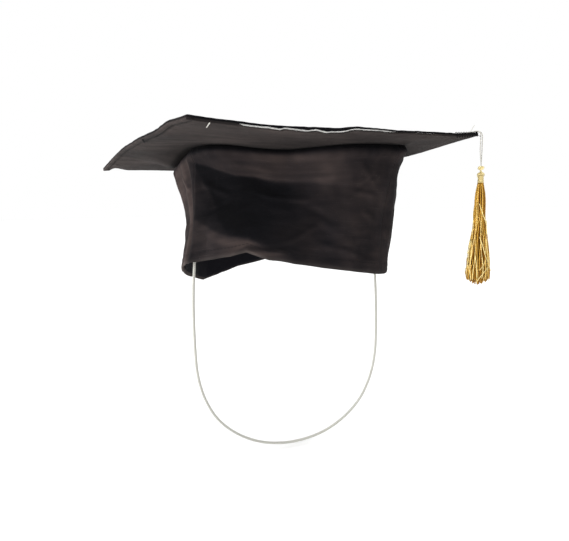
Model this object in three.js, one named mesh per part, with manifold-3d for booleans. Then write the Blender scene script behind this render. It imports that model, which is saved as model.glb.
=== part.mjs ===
// A graduation cap: a cloth-covered square board on a soft crown, with a tassel that turns on the
// button in the middle of the board and an elastic chin strap. Millimetres, +Z up. The origin is the
// middle of the head opening, at the mean height of the hem.

import * as THREE from 'three';
import { mergeVertices } from 'three/addons/utils/BufferGeometryUtils.js';
import Module from 'manifold-3d';

const wasm = await Module();
wasm.setup();

// ---- Driving dimensions ----

const touchGap = 0.3;          // left between pieces that touch

const boardSide = 240;
const boardCentre = new THREE.Vector2(-23, -7);
const boardHeight = 97.5;      // underside of the board's middle, above the head opening
const coverThickness = 0.5;
const cardThickness = 1.2;
const coverOverhang = 2;       // how far the covers reach past the card
const openSeamLength = 165;    // where the near edge's seam gapes and shows the card
const openSeamShift = 12;
const boardSteps = 12;

const clothThickness = 0.8;    // of each layer of the crown
const crownTurn = THREE.MathUtils.degToRad(-38.8);
const crownSquareness = 2.7;   // exponent of the rounded oval: 2 is an ellipse
const crownTop = { halfLength: 103.8, halfWidth: 70.2, x: 0, y: 0 };
const crownHem = { halfLength: 96.5, halfWidth: 68.1, x: -2.1, y: 7.8 };
const crownWaist = 5.1;        // how far the wall bows in at mid height
const hemPointDip = 11.7;      // the hem dips at both ends of the oval
const hemPointAngle = 153;
const hemSideDip = 7;          // and hangs lower all along the far left
const hemSideAngle = 148;
const crownSeams = [50, 148, 230, 328];
const seamHalfGap = 0.15;      // degrees left open on each side of a seam
const facingHeight = 20;

const studRadius = 1.5;
const neckRadius = 3;
const buttonRadius = 11;
const buttonHeight = 6.5;

const threadDiameter = 0.8;
const threadSpacing = 1.3;
const skirtLength = 82;
const skirtRadius = 9.6;

const elasticDiameter = 2.4;
const knotRadius = 2.7;

// ---- Materials ----

const material = (color, roughness, metalness = 0) =>
  new THREE.MeshStandardMaterial({ color, roughness, metalness });
const blackCloth = material(0x2b2627, 0.85);
const liningCloth = material(0x1a181c, 0.9);
const whiteCard = material(0xe9e7e0, 0.7);
const buttonMetal = material(0x8d8d8d, 0.35, 1);
const goldThread = material(0xc79a45, 0.45);
const whiteThread = material(0xdcdad2, 0.6);
const elasticCord = material(0xb9b8ae, 0.75);

// ---- Shared geometry ----

const radians = THREE.MathUtils.degToRad;

// Keeps only positions, merges shared corners and turns the faces outwards.
function closed(geometry) {
  geometry.deleteAttribute('normal');
  geometry.deleteAttribute('uv');
  const merged = mergeVertices(geometry, 1e-4);
  const position = merged.attributes.position;
  const index = merged.index.array;
  const corner = [new THREE.Vector3(), new THREE.Vector3(), new THREE.Vector3()];
  let volume = 0;
  for (let i = 0; i < index.length; i += 3) {
    corner.forEach((point, k) => point.fromBufferAttribute(position, index[i + k]));
    volume += corner[0].dot(corner[1].cross(corner[2]));
  }
  if (volume < 0) index.reverse();
  return merged;
}

// A solid between two surfaces, each a function of s and t from 0 to 1. With wraps, s goes round.
function between(outer, inner, sSteps, tSteps, wraps = false) {
  const points = [];
  const faces = [];
  const columns = wraps ? sSteps : sSteps + 1;
  for (const surface of [outer, inner]) {
    for (let i = 0; i < columns; i++) {
      for (let j = 0; j <= tSteps; j++) points.push(...surface(i / sSteps, j / tSteps).toArray());
    }
  }
  const at = (side, i, j) => side * columns * (tSteps + 1) + (i % columns) * (tSteps + 1) + j;
  const quad = (a, b, c, d) => faces.push(a, b, c, a, c, d);
  for (let i = 0; i < sSteps; i++) {
    for (let j = 0; j < tSteps; j++) {
      quad(at(0, i, j), at(0, i + 1, j), at(0, i + 1, j + 1), at(0, i, j + 1));
      quad(at(1, i, j), at(1, i, j + 1), at(1, i + 1, j + 1), at(1, i + 1, j));
    }
    quad(at(0, i, 0), at(1, i, 0), at(1, i + 1, 0), at(0, i + 1, 0));
    quad(at(0, i, tSteps), at(0, i + 1, tSteps), at(1, i + 1, tSteps), at(1, i, tSteps));
  }
  if (!wraps) {
    for (let j = 0; j < tSteps; j++) {
      quad(at(0, 0, j), at(0, 0, j + 1), at(1, 0, j + 1), at(1, 0, j));
      quad(at(0, sSteps, j), at(1, sSteps, j), at(1, sSteps, j + 1), at(0, sSteps, j + 1));
    }
  }
  const geometry = new THREE.BufferGeometry();
  geometry.setAttribute('position', new THREE.Float32BufferAttribute(points, 3));
  geometry.setIndex(faces);
  return closed(geometry);
}

function toManifold(geometry) {
  const merged = closed(geometry);
  const vertProperties = Float32Array.from(merged.attributes.position.array);
  const triVerts = Uint32Array.from(merged.index.array);
  return new wasm.Manifold(new wasm.Mesh({ numProp: 3, vertProperties, triVerts }));
}

function cut(geometry, ...tools) {
  let solid = toManifold(geometry);
  for (const tool of tools) solid = solid.subtract(toManifold(tool));
  const mesh = solid.getMesh();
  const result = new THREE.BufferGeometry();
  result.setAttribute('position', new THREE.Float32BufferAttribute(mesh.vertProperties, 3));
  result.setIndex(Array.from(mesh.triVerts));
  return result;
}

// A body of revolution about the vertical: its outline is a list of [radius, height].
function turned(outline, segments = 24) {
  const points = outline.map(([radius, height]) => new THREE.Vector2(radius, height));
  return closed(new THREE.LatheGeometry(points, segments).rotateX(Math.PI / 2));
}

// A round cord along a smooth curve through the given points.
function cord(points, diameter, steps, sides = 8) {
  const section = new THREE.Shape();
  for (let i = 0; i < sides; i++) {
    const angle = (2 * Math.PI * i) / sides;
    const x = (diameter / 2) * Math.cos(angle);
    const y = (diameter / 2) * Math.sin(angle);
    if (i === 0) section.moveTo(x, y);
    else section.lineTo(x, y);
  }
  section.closePath();
  const extrudePath = new THREE.CatmullRomCurve3(points, false, 'centripetal');
  return closed(new THREE.ExtrudeGeometry(section, { steps, extrudePath, bevelEnabled: false }));
}

function part(name, geometry, look) {
  const mesh = new THREE.Mesh(geometry, look);
  mesh.name = name;
  return mesh;
}

// ---- The board ----

// How far the warped board stands above its middle: the tassel's corner is lifted, and the two far
// corners droop, the left one most.
function boardLift(x, y) {
  const u = (x - boardCentre.x) / (boardSide / 2);
  const v = (y - boardCentre.y) / (boardSide / 2);
  const tilt = -3.3 * u - 2.3 * v;
  const twist = -1.1 * u * v - 1.8 * u * u * v + 5.7 * u * v * v;
  return tilt - v * v + twist;
}

// A rectangle of sheet that follows the warp, between two heights above the board's underside. Its
// edges are distances from the board's centre.
function boardPatch([left, right], [near, far], low, high) {
  const surface = (height) => (s, t) => {
    const x = boardCentre.x + THREE.MathUtils.lerp(left, right, s);
    const y = boardCentre.y + THREE.MathUtils.lerp(near, far, t);
    return new THREE.Vector3(x, y, boardHeight + boardLift(x, y) + height);
  };
  return between(surface(high), surface(low), boardSteps, boardSteps);
}

function boardSheet(halfSide, low, high) {
  return boardPatch([-halfSide, halfSide], [-halfSide, halfSide], low, high);
}

const cardLow = coverThickness + touchGap;
const cardHigh = cardLow + cardThickness;
const topLow = cardHigh + touchGap;
const stackHigh = topLow + coverThickness;
const coverHalf = boardSide / 2;
const cardHalf = coverHalf - coverOverhang;
const holeRadius = studRadius + 0.5;

function studHole() {
  const hole = new THREE.CylinderGeometry(holeRadius, holeRadius, 4 * stackHigh, 16);
  return hole.rotateX(Math.PI / 2).translate(boardCentre.x, boardCentre.y, boardHeight);
}

function underCover() {
  return cut(boardSheet(coverHalf, 0, coverThickness), studHole());
}

function boardCard() {
  return cut(boardSheet(cardHalf, cardLow, cardHigh), studHole());
}

// A shallow lid: the sheet on top of the card and its edges, turned down to the under cover.
function topCover() {
  const lid = boardSheet(coverHalf, cardLow, stackHigh);
  const cardSpace = boardSheet(cardHalf + touchGap, -1, topLow);
  const seamEnds = [openSeamShift - openSeamLength / 2, openSeamShift + openSeamLength / 2];
  const openSeam = boardPatch(seamEnds, [-coverHalf - 1, -cardHalf], -1, topLow);
  return cut(lid, cardSpace, openSeam, studHole());
}

// ---- The crown ----

function oval({ halfLength, halfWidth, x, y }, degrees) {
  const angle = radians(degrees);
  const power = 2 / crownSquareness;
  const along = halfLength * Math.sign(Math.cos(angle)) * Math.abs(Math.cos(angle)) ** power;
  const across = halfWidth * Math.sign(Math.sin(angle)) * Math.abs(Math.sin(angle)) ** power;
  const point = new THREE.Vector2(along, across).rotateAround(new THREE.Vector2(), crownTurn);
  return point.add(new THREE.Vector2(x, y));
}

function hemHeight(degrees) {
  const points = hemPointDip * Math.cos(2 * radians(degrees - hemPointAngle));
  const side = hemSideDip * Math.cos(radians(degrees - hemSideAngle));
  return -points - side;
}

// A point of the crown's wall: down is 0 at the board and 1 at the hem, and inset goes inwards.
function crownPoint(degrees, down, inset) {
  const top = oval(crownTop, degrees);
  const hem = oval(crownHem, degrees);
  const centre = new THREE.Vector2(crownHem.x, crownHem.y).multiplyScalar(down);
  const outwards = top.clone().lerp(hem, down).sub(centre);
  const waist = crownWaist * 4 * down * (1 - down);
  outwards.setLength(outwards.length() - inset - waist);
  const topHeight = boardHeight + boardLift(top.x, top.y) - touchGap;
  const height = THREE.MathUtils.lerp(topHeight, hemHeight(degrees), down);
  return new THREE.Vector3(centre.x + outwards.x, centre.y + outwards.y, height);
}

// The stretch of wall between two seams, as one layer of cloth.
function crownLayer(from, to, insetOut, insetIn, downFrom, downTo, steps) {
  const surface = (inset) => (s, t) => {
    const degrees = THREE.MathUtils.lerp(from + seamHalfGap, to - seamHalfGap, s);
    return crownPoint(degrees, THREE.MathUtils.lerp(downFrom, downTo, t), inset);
  };
  return between(surface(insetOut), surface(insetIn), steps, 6);
}

const crownSides = ['far', 'left', 'near', 'right'].map((side, i) => {
  const from = crownSeams[i];
  const to = crownSeams[(i + 1) % 4] + (i === 3 ? 360 : 0);
  return { side, from, to, steps: Math.round((to - from) / 8) };
});
const liningOut = clothThickness + touchGap;
const liningIn = liningOut + clothThickness;
const facingOut = liningIn + touchGap;
const facingIn = facingOut + clothThickness;
const liningEnd = 0.975;
const facingEnd = 0.985;

function hemFacing() {
  const facingStart = facingEnd - facingHeight / boardHeight;
  const surface = (inset) => (s, t) =>
    crownPoint(360 * s, THREE.MathUtils.lerp(facingStart, facingEnd, t), inset);
  return between(surface(facingOut), surface(facingIn), 48, 2, true);
}

const ceilingLow = boardHeight - 6;
const ceilingInset = facingIn + 0.6;

function ceilingLining() {
  const outline = [];
  for (let degrees = 0; degrees < 360; degrees += 7.5) {
    const { x, y } = crownPoint(degrees, 0.04, ceilingInset);
    outline.push(new THREE.Vector2(x, y));
  }
  const sheet = new THREE.ExtrudeGeometry(new THREE.Shape(outline), {
    depth: clothThickness,
    bevelEnabled: false,
  });
  return closed(sheet.translate(0, 0, ceilingLow));
}

// ---- Button, stud and washer, on the vertical through the board's middle ----

const washerHigh = boardHeight - 0.7;
const washerLow = washerHigh - 0.8;
const stackTop = boardHeight + stackHigh;
const neckLow = stackTop + 0.5;
const plateLow = neckLow + 2.1;
const plateHigh = plateLow + 1;

function studWasher() {
  return turned([
    [holeRadius, washerLow],
    [8, washerLow],
    [8, washerHigh],
    [holeRadius, washerHigh],
    [holeRadius, washerLow],
  ]);
}

function buttonStud() {
  const headHigh = washerLow - touchGap;
  const headLow = headHigh - 0.6;
  return turned([
    [0, headLow],
    [3.6, headLow],
    [3.6, headHigh],
    [studRadius, headHigh],
    [studRadius, plateHigh + 0.8],
    [0, plateHigh + 0.8],
  ]);
}

function buttonBack() {
  const bore = studRadius + touchGap;
  return turned([
    [bore, neckLow],
    [neckRadius, neckLow],
    [neckRadius, plateLow],
    [buttonRadius - 1.5, plateLow],
    [buttonRadius - 1.5, plateHigh],
    [bore, plateHigh],
    [bore, neckLow],
  ]);
}

function buttonShell() {
  const shellLow = plateLow - 0.3;
  const dome = (radius, height) => {
    const arc = [];
    for (let i = 0; i <= 8; i++) {
      const angle = (Math.PI / 2) * (i / 8);
      arc.push([radius * Math.cos(angle), shellLow + height * Math.sin(angle)]);
    }
    arc[8][0] = 0;
    return arc;
  };
  const outside = dome(buttonRadius, buttonHeight);
  const inside = dome(buttonRadius - 1.1, buttonHeight - 1.1).reverse();
  return turned([...inside, ...outside]);
}

// ---- Tassel ----

const cornerAngle = Math.PI / -4;
const tasselReach = 172.5;
const hangerPivot = -1.9;     // where the thread bends as it swings, above the board's middle
const threadEnd = hangerPivot + 0.1;
const hangerTop = hangerPivot - 0.6;
const loopRadius = neckRadius + touchGap + threadDiameter / 2;
const loopHeight = 1.3;

// The thread's route over the board: [distance from the button's axis, height above the board's middle].
const threadRoute = [
  [4.9, 1.3], [12, 1.4], [22, 1.7], [35, 2.1], [50, 2.6], [65, 3.1], [80, 3.6], [95, 4.0],
  [110, 4.4], [122, 4.7], [135, 5.0], [146, 5.45], [154, 6.1], [160, 6.7], [165, 7.3],
  [168.5, 7.8], [170.9, 7.2], [172.1, 5.6], [172.5, 3.8], [172.5, 1.2], [172.5, threadEnd],
];

// A point beside the vertical plane that holds the tassel.
function tasselPoint(reach, height, aside = 0) {
  const x = boardCentre.x + reach * Math.cos(cornerAngle) - aside * Math.sin(cornerAngle);
  const y = boardCentre.y + reach * Math.sin(cornerAngle) + aside * Math.cos(cornerAngle);
  return new THREE.Vector3(x, y, stackTop + height);
}

function tasselThread(aside) {
  return cord(threadRoute.map(([r, h]) => tasselPoint(r, h, aside)), threadDiameter, 60);
}

const knotTop = -19.3;
function tasselHanger(aside) {
  const ends = [hangerTop, (hangerTop + knotTop) / 2, knotTop + touchGap];
  return cord(ends.map((h) => tasselPoint(tasselReach, h, aside)), threadDiameter, 6);
}

function tasselLoop() {
  const ring = new THREE.TorusGeometry(loopRadius, threadDiameter / 2, 8, 32);
  return closed(ring.translate(boardCentre.x, boardCentre.y, stackTop + loopHeight));
}

// The tassel's pieces hang below each other on one vertical line.
function hanging(outline) {
  const foot = tasselPoint(tasselReach, 0);
  return turned(outline, 16).translate(foot.x, foot.y, foot.z);
}

const knotLow = knotTop - 3.2;
const headTop = knotLow - 0.6;
const bindingTop = headTop - 3.6;
const skirtTop = bindingTop - 6;
const domeRadius = 1.5;       // of the knot's foot and the head's crown, which roll past each other

// A quarter round from the axis to its full radius: up is 1 for a dome and -1 for a bowl.
function quarterRound(apex, up) {
  const arc = [];
  for (let i = 0; i <= 4; i++) {
    const angle = (Math.PI / 2) * (i / 4);
    arc.push([domeRadius * Math.sin(angle), apex - up * domeRadius * (1 - Math.cos(angle))]);
  }
  return arc;
}

function tasselKnot() {
  return hanging([...quarterRound(knotLow, -1), [1.9, knotLow + 2.2], [1.5, knotTop], [0, knotTop]]);
}

function tasselHead() {
  const low = bindingTop + touchGap;
  const body = [[2.5, headTop - 2], [2.1, low], [0, low]];
  return hanging([...quarterRound(headTop, 1), ...body]);
}

function tasselBinding() {
  const low = skirtTop + touchGap;
  return hanging([[0, low], [2.4, low], [2, bindingTop], [0, bindingTop]]);
}

function tasselSkirt() {
  const low = skirtTop - skirtLength;
  return hanging([
    [0, low],
    [skirtRadius * 0.85, low],
    [skirtRadius, low + skirtLength * 0.2],
    [skirtRadius * 0.66, low + skirtLength * 0.6],
    [skirtRadius * 0.45, low + skirtLength * 0.9],
    [2.6, skirtTop],
    [0, skirtTop],
  ]);
}

// ---- Chin strap ----

// Where the two ends hang inside the hem, and the U between them: [distance along, height].
const strapLeft = new THREE.Vector2(-87.6, 23.6);
const strapRight = new THREE.Vector2(83.2, -21);
const strapSpan = strapLeft.distanceTo(strapRight);
const strapEnd = 10;
const strapMiddle = [strapSpan / 2, -180];
const strapHalf = [
  [0, strapEnd], [-0.6, 0], [-1.9, -15], [-3, -35], [-3.4, -55], [-3.4, -75], [-2.6, -95],
  [0.2, -112], [5.4, -128], [14, -144], [27, -158], [43, -169], [62, -176.6],
];

function chinElastic() {
  const otherHalf = strapHalf.map(([along, height]) => [strapSpan - along, height]).reverse();
  const route = [...strapHalf, strapMiddle, ...otherHalf].map(([along, height]) => {
    const { x, y } = strapLeft.clone().lerp(strapRight, along / strapSpan);
    return new THREE.Vector3(x, y, height);
  });
  return cord(route, elasticDiameter, 76);
}

function elasticKnot({ x, y }) {
  const knot = new THREE.SphereGeometry(knotRadius, 12, 8);
  return closed(knot.translate(x, y, strapEnd + touchGap + knotRadius));
}

// ---- The whole cap ----

const cap = new THREE.Group();
cap.name = 'graduation_cap';
cap.add(part('under_cover', underCover(), blackCloth));
cap.add(part('board_card', boardCard(), whiteCard));
cap.add(part('top_cover', topCover(), blackCloth));

for (const { side, from, to, steps } of crownSides) {
  const panel = crownLayer(from, to, 0, clothThickness, 0, 1, steps);
  const lining = crownLayer(from, to, liningOut, liningIn, 0, liningEnd, steps);
  cap.add(part(`crown_panel_${side}`, panel, blackCloth));
  cap.add(part(`crown_lining_${side}`, lining, liningCloth));
}
cap.add(part('hem_facing', hemFacing(), liningCloth));
cap.add(part('ceiling_lining', ceilingLining(), liningCloth));

const onButtonAxis = new THREE.Group();
onButtonAxis.position.set(boardCentre.x, boardCentre.y, 0);
onButtonAxis.add(part('stud_washer', studWasher(), buttonMetal));
onButtonAxis.add(part('button_stud', buttonStud(), buttonMetal));
onButtonAxis.add(part('button_back', buttonBack(), buttonMetal));
onButtonAxis.add(part('button_shell', buttonShell(), blackCloth));
cap.add(onButtonAxis);

cap.add(part('tassel_loop', tasselLoop(), whiteThread));
for (const [side, aside] of [['left', -threadSpacing / 2], ['right', threadSpacing / 2]]) {
  cap.add(part(`tassel_thread_${side}`, tasselThread(aside), whiteThread));
  cap.add(part(`tassel_hanger_${side}`, tasselHanger(aside), whiteThread));
}
cap.add(part('tassel_knot', tasselKnot(), goldThread));
cap.add(part('tassel_head', tasselHead(), goldThread));
cap.add(part('tassel_binding', tasselBinding(), goldThread));
cap.add(part('tassel_skirt', tasselSkirt(), goldThread));

cap.add(part('chin_elastic', chinElastic(), elasticCord));
cap.add(part('elastic_knot_left', elasticKnot(strapLeft), elasticCord));
cap.add(part('elastic_knot_right', elasticKnot(strapRight), elasticCord));

export default cap;
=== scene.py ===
"""A graduation cap: black cloth over a square card, a soft crown, a gold tassel and a chin strap.

Lengths are in millimetres, as in the CAD source, and mesh_object() turns them into metres.
"""

import math
import random

import bpy
import numpy as np
from mathutils import Matrix, Vector, noise


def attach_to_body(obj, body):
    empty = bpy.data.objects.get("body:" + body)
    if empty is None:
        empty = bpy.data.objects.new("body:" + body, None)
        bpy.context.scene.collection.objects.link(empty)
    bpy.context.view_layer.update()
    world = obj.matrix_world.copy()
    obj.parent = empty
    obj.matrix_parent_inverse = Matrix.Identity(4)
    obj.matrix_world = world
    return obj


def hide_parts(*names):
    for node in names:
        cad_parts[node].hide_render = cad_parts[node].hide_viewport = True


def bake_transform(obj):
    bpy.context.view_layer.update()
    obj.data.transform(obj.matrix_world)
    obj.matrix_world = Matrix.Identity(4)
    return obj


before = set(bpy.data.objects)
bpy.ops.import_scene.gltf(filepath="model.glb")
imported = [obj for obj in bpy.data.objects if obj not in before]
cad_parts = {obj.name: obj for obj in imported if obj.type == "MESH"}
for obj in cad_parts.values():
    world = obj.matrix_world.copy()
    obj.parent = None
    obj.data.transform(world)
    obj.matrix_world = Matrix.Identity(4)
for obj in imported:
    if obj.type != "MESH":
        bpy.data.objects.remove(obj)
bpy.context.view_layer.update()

MM = 0.001
random.seed(7)

# ---- Driving dimensions, as in the CAD source ----

BOARD_CENTRE = np.array([-23.0, -7.0])
BOARD_HALF = 120.0
BOARD_HEIGHT = 97.5
STACK_HIGH = 2.8
CARD_HALF = 118.0
CARD_MIDDLE = 1.4
CARD_THICKNESS = 1.2
COVER_THICKNESS = 0.5
STACK_TOP = BOARD_HEIGHT + STACK_HIGH
HEM_WIDTH = 3.2    # of the under cover's left side

CROWN_TURN = math.radians(-38.8)
CROWN_POWER = 2 / 2.7
CROWN_TOP = (103.8, 70.2)
CROWN_HEM = (96.5, 68.1)
CROWN_HEM_CENTRE = np.array([-2.1, 7.8])
CROWN_WAIST = 5.1
CROWN_SEAMS = {"far": (50, 148), "left": (148, 230), "near": (230, 328), "right": (328, 410)}

TASSEL_TURN = -math.pi / 4
TASSEL_REACH = 172.5
THREAD_DIAMETER = 0.8
THREAD_SPACING = 1.3
PLY_PITCH = 1.5
NECK_RADIUS = 3
TOUCH_GAP = 0.3
KNOT_TOP = -19.3
KNOT_LOW = KNOT_TOP - 3.2
HEAD_TOP = KNOT_LOW - 0.6
BINDING_TOP = HEAD_TOP - 3.6
SKIRT_TOP = BINDING_TOP - 6
SKIRT_LENGTH = 82.0

ELASTIC_DIAMETER = 2.4
STRAP_LEFT = np.array([-87.6, 23.6])
STRAP_RIGHT = np.array([83.2, -21.0])
STRAP_END = 10.0
KNOT_RADIUS = 2.7

# The thread's way from the button over the board's corner: [distance from the button's axis, height
# above the board's middle].
THREAD_ROUTE = [
    [4.9, 1.3], [12, 1.4], [22, 1.7], [35, 2.1], [50, 2.6], [65, 3.1], [80, 3.6], [95, 4.0],
    [110, 4.4], [122, 4.7], [135, 5.0], [146, 5.45], [154, 6.1], [160, 6.7], [165, 7.3],
    [168.5, 7.8], [170.9, 7.2], [172.1, 5.6], [172.5, 3.8], [172.5, 1.2], [172.5, -1.8],
    [172.5, -8], [172.5, -14], [172.5, KNOT_TOP + 0.2],
]

# Half of the chin strap: [distance along the span, height].
STRAP_HALF = [
    [0, STRAP_END], [-0.6, 0], [-1.9, -15], [-3, -35], [-3.4, -55], [-3.4, -75], [-2.6, -95],
    [0.2, -112], [5.4, -128], [14, -144], [27, -158], [43, -169], [62, -176.6],
]
STRAP_LOWEST = -180

# ---- Camera, lights and floor ----

# The camera's yaw, pitch and roll in degrees, its place in metres, and its lens in millimetres.
CAMERA_ANGLES = (31.23, -7.64, -1.35)
CAMERA_PLACE = (-0.229, -0.3639, 0.0504)
CAMERA_LENS = 28.857
SENSOR_WIDTH = 36
FLOOR_HEIGHT = -0.1835


def add_camera():
    """The viewing angle: a little above the hem, looking up at the underside of the board."""
    yaw, pitch, roll = (math.radians(angle) for angle in CAMERA_ANGLES)
    forward = Vector((math.sin(yaw) * math.cos(pitch), math.cos(yaw) * math.cos(pitch), math.sin(pitch)))
    right = Vector((math.cos(yaw), -math.sin(yaw), 0))
    up = right.cross(forward)
    camera_x = math.cos(roll) * right + math.sin(roll) * up
    camera_y = math.cos(roll) * up - math.sin(roll) * right
    data = bpy.data.cameras.new("camera")
    data.sensor_width = SENSOR_WIDTH
    data.lens = CAMERA_LENS
    camera = bpy.data.objects.new("camera", data)
    camera.matrix_world = Matrix((camera_x, camera_y, -forward)).transposed().to_4x4()
    camera.location = CAMERA_PLACE
    bpy.context.scene.collection.objects.link(camera)
    bpy.context.scene.camera = camera


def add_soft_light(name, place, target, size, power):
    """A square lamp that faces the target, in metres and watts. The camera doesn't see it."""
    data = bpy.data.lights.new(name, "AREA")
    data.size = size
    data.energy = power
    light = bpy.data.objects.new(name, data)
    light.location = place
    light.rotation_mode = "QUATERNION"
    light.rotation_quaternion = (Vector(target) - Vector(place)).to_track_quat("-Z", "Y")
    light.visible_camera = False
    bpy.context.scene.collection.objects.link(light)


def add_sky_light(strength, spread):
    """A wide soft light straight down, which lights the floor evenly far out."""
    data = bpy.data.lights.new("overhead", "SUN")
    data.energy = strength
    data.angle = math.radians(spread)
    light = bpy.data.objects.new("overhead", data)
    bpy.context.scene.collection.objects.link(light)


def add_world(seen, strength):
    """Near white where it is seen, and dimmer as a light."""
    world = bpy.data.worlds.new("studio")
    world.use_nodes = True
    tree = world.node_tree
    seen_by_camera = node(tree, "ShaderNodeLightPath").outputs["Is Camera Ray"]
    level = remapped(tree, seen_by_camera, low=strength, high=seen)
    connect(tree, tree.nodes["Background"], {"Color": (1, 1, 1, 1), "Strength": level})
    bpy.context.scene.world = world


def add_floor(size):
    """A plain pale floor, just below the lowest point of the chin strap."""
    mesh = bpy.data.meshes.new("floor")
    half = size / 2
    corners = [(-half, -half, 0), (half, -half, 0), (half, half, 0), (-half, half, 0)]
    mesh.from_pydata(corners, [], [(0, 1, 2, 3)])
    floor = bpy.data.objects.new("floor", mesh)
    floor.location.z = FLOOR_HEIGHT
    bpy.context.scene.collection.objects.link(floor)
    material, tree, surface = new_material("pale_floor")
    place = node(tree, "ShaderNodeTexCoord").outputs["Generated"]
    grain = noise_value(tree, place, scale=3.0, detail=4.0)
    connect(tree, surface, {"Base Color": remapped(tree, grain, low=0.88, high=0.92), "Roughness": 0.9})
    mesh.materials.append(material)


# ---- Materials ----


def new_material(name):
    material = bpy.data.materials.new(name)
    material.use_nodes = True
    tree = material.node_tree
    return material, tree, tree.nodes["Principled BSDF"]


def connect(tree, made, inputs):
    """Each input of the node is set to a value or linked to a socket."""
    for key, value in inputs.items():
        if isinstance(value, bpy.types.NodeSocket):
            tree.links.new(value, made.inputs[key])
        else:
            made.inputs[key].default_value = value


def node(tree, kind, inputs=None, **settings):
    """A new shader node with its settings and its inputs."""
    made = tree.nodes.new(kind)
    for key, value in settings.items():
        setattr(made, key, value)
    connect(tree, made, inputs or {})
    return made


def mixed(tree, share, first, second, blend="MIX"):
    """One colour socket from two colours, each a socket or three numbers."""
    inputs = {0: share}
    for key, colour in ((6, first), (7, second)):
        inputs[key] = colour if isinstance(colour, bpy.types.NodeSocket) else (*colour, 1)
    return node(tree, "ShaderNodeMix", inputs, data_type="RGBA", blend_type=blend).outputs[2]


def math_node(tree, operation, first, second=0.0):
    return node(tree, "ShaderNodeMath", {0: first, 1: second}, operation=operation).outputs[0]


def noise_value(tree, place, scale, detail, roughness=0.5):
    inputs = {"Vector": place, "Scale": scale, "Detail": detail, "Roughness": roughness}
    return node(tree, "ShaderNodeTexNoise", inputs).outputs["Fac"]


def streak_value(tree, place, scales, detail):
    """Noise that is stretched by its own scale along each axis, for streaks and layers."""
    stretched = node(tree, "ShaderNodeMapping", {"Vector": place, "Scale": scales})
    return noise_value(tree, stretched.outputs[0], 1.0, detail)


def remapped(tree, value, start=0.0, end=1.0, low=0.0, high=1.0):
    """low where the value is at start, high where it is at end, and a straight line between."""
    inputs = {"Value": value, "From Min": start, "From Max": end, "To Min": low, "To Max": high}
    return node(tree, "ShaderNodeMapRange", inputs).outputs["Result"]


def relief(tree, height, strength, depth):
    """The surface normal of a fine relief. depth is in metres."""
    inputs = {"Height": height, "Strength": strength, "Distance": depth}
    return node(tree, "ShaderNodeBump", inputs).outputs["Normal"]


def point_value(tree, name):
    """A number that the mesh holds at each point."""
    return node(tree, "ShaderNodeAttribute", attribute_name=name).outputs["Fac"]


def weave_height(tree, uv, pitch):
    """Over-and-under threads: uv is in metres along the cloth, and pitch is one thread."""
    apart = node(tree, "ShaderNodeSeparateXYZ", {"Vector": uv})
    waves = []
    for axis in ("X", "Y"):
        turned = math_node(tree, "MULTIPLY", apart.outputs[axis], math.pi / (pitch * MM))
        waves.append(math_node(tree, "SINE", turned))
    return math_node(tree, "MULTIPLY", waves[0], waves[1])


TONE_CONTRAST = 2.6    # a tone of 1 multiplies the colour by this, and a tone of -1 divides it


def fabric(name, dark, light, pale, pitch=0.55):
    """Plain-woven cloth with uneven threads, cloudy dye, lint, and paler wear where it is folded.

    Each point's tone, which holds painted light and shade as well as mottling and a stain, runs from the
    dark colour, at about -1, to the light one, at about 1.
    """
    material, tree, surface = new_material(name)
    uv = node(tree, "ShaderNodeTexCoord").outputs["UV"]
    tone = point_value(tree, "tone")
    threads = weave_height(tree, uv, pitch)
    slubs = streak_value(tree, uv, (40, 1400, 1), detail=2.0)
    clouds = noise_value(tree, uv, scale=22.0, detail=5.0, roughness=0.6)
    lint = noise_value(tree, uv, scale=900.0, detail=1.0)
    # The tone mixes painted light and shade into the colour, and the clouds mix in uneven dye.
    painted_light_and_dye = math_node(tree, "ADD", math_node(tree, "MULTIPLY", tone, 0.5), clouds)
    colour = mixed(tree, painted_light_and_dye, dark, light)
    colour = mixed(tree, remapped(tree, slubs, 0.62, 0.8, high=0.2), colour, pale)
    colour = mixed(tree, math_node(tree, "MULTIPLY", point_value(tree, "wear"), 0.5), colour, pale)
    colour = mixed(tree, remapped(tree, lint, 0.72, 0.8, high=0.5), colour, pale)
    # Painted shade in the weave's hollows and a faint painted highlight on its crossings.
    woven = remapped(tree, threads, start=-1.0, low=0.78, high=1.1)
    colour = mixed(tree, 1.0, colour, woven, "MULTIPLY")
    # The tone also scales the colour: lighter for painted light, darker for painted shade, as well as
    # mottling.
    colour = mixed(tree, 1.0, colour, math_node(tree, "POWER", TONE_CONTRAST, tone), "MULTIPLY")
    heights = math_node(tree, "ADD", threads, math_node(tree, "MULTIPLY", slubs, 1.5))
    look = {
        "Base Color": colour,
        "Roughness": remapped(tree, clouds, low=0.77, high=0.93),
        "Normal": relief(tree, heights, strength=0.35, depth=0.00012),
        "Sheen Weight": 0.01,
        "Sheen Roughness": 0.45,
        "Sheen Tint": (0.85, 0.82, 0.8, 1),
        "Specular IOR Level": 0.06,
    }
    connect(tree, surface, look)
    return material


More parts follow.
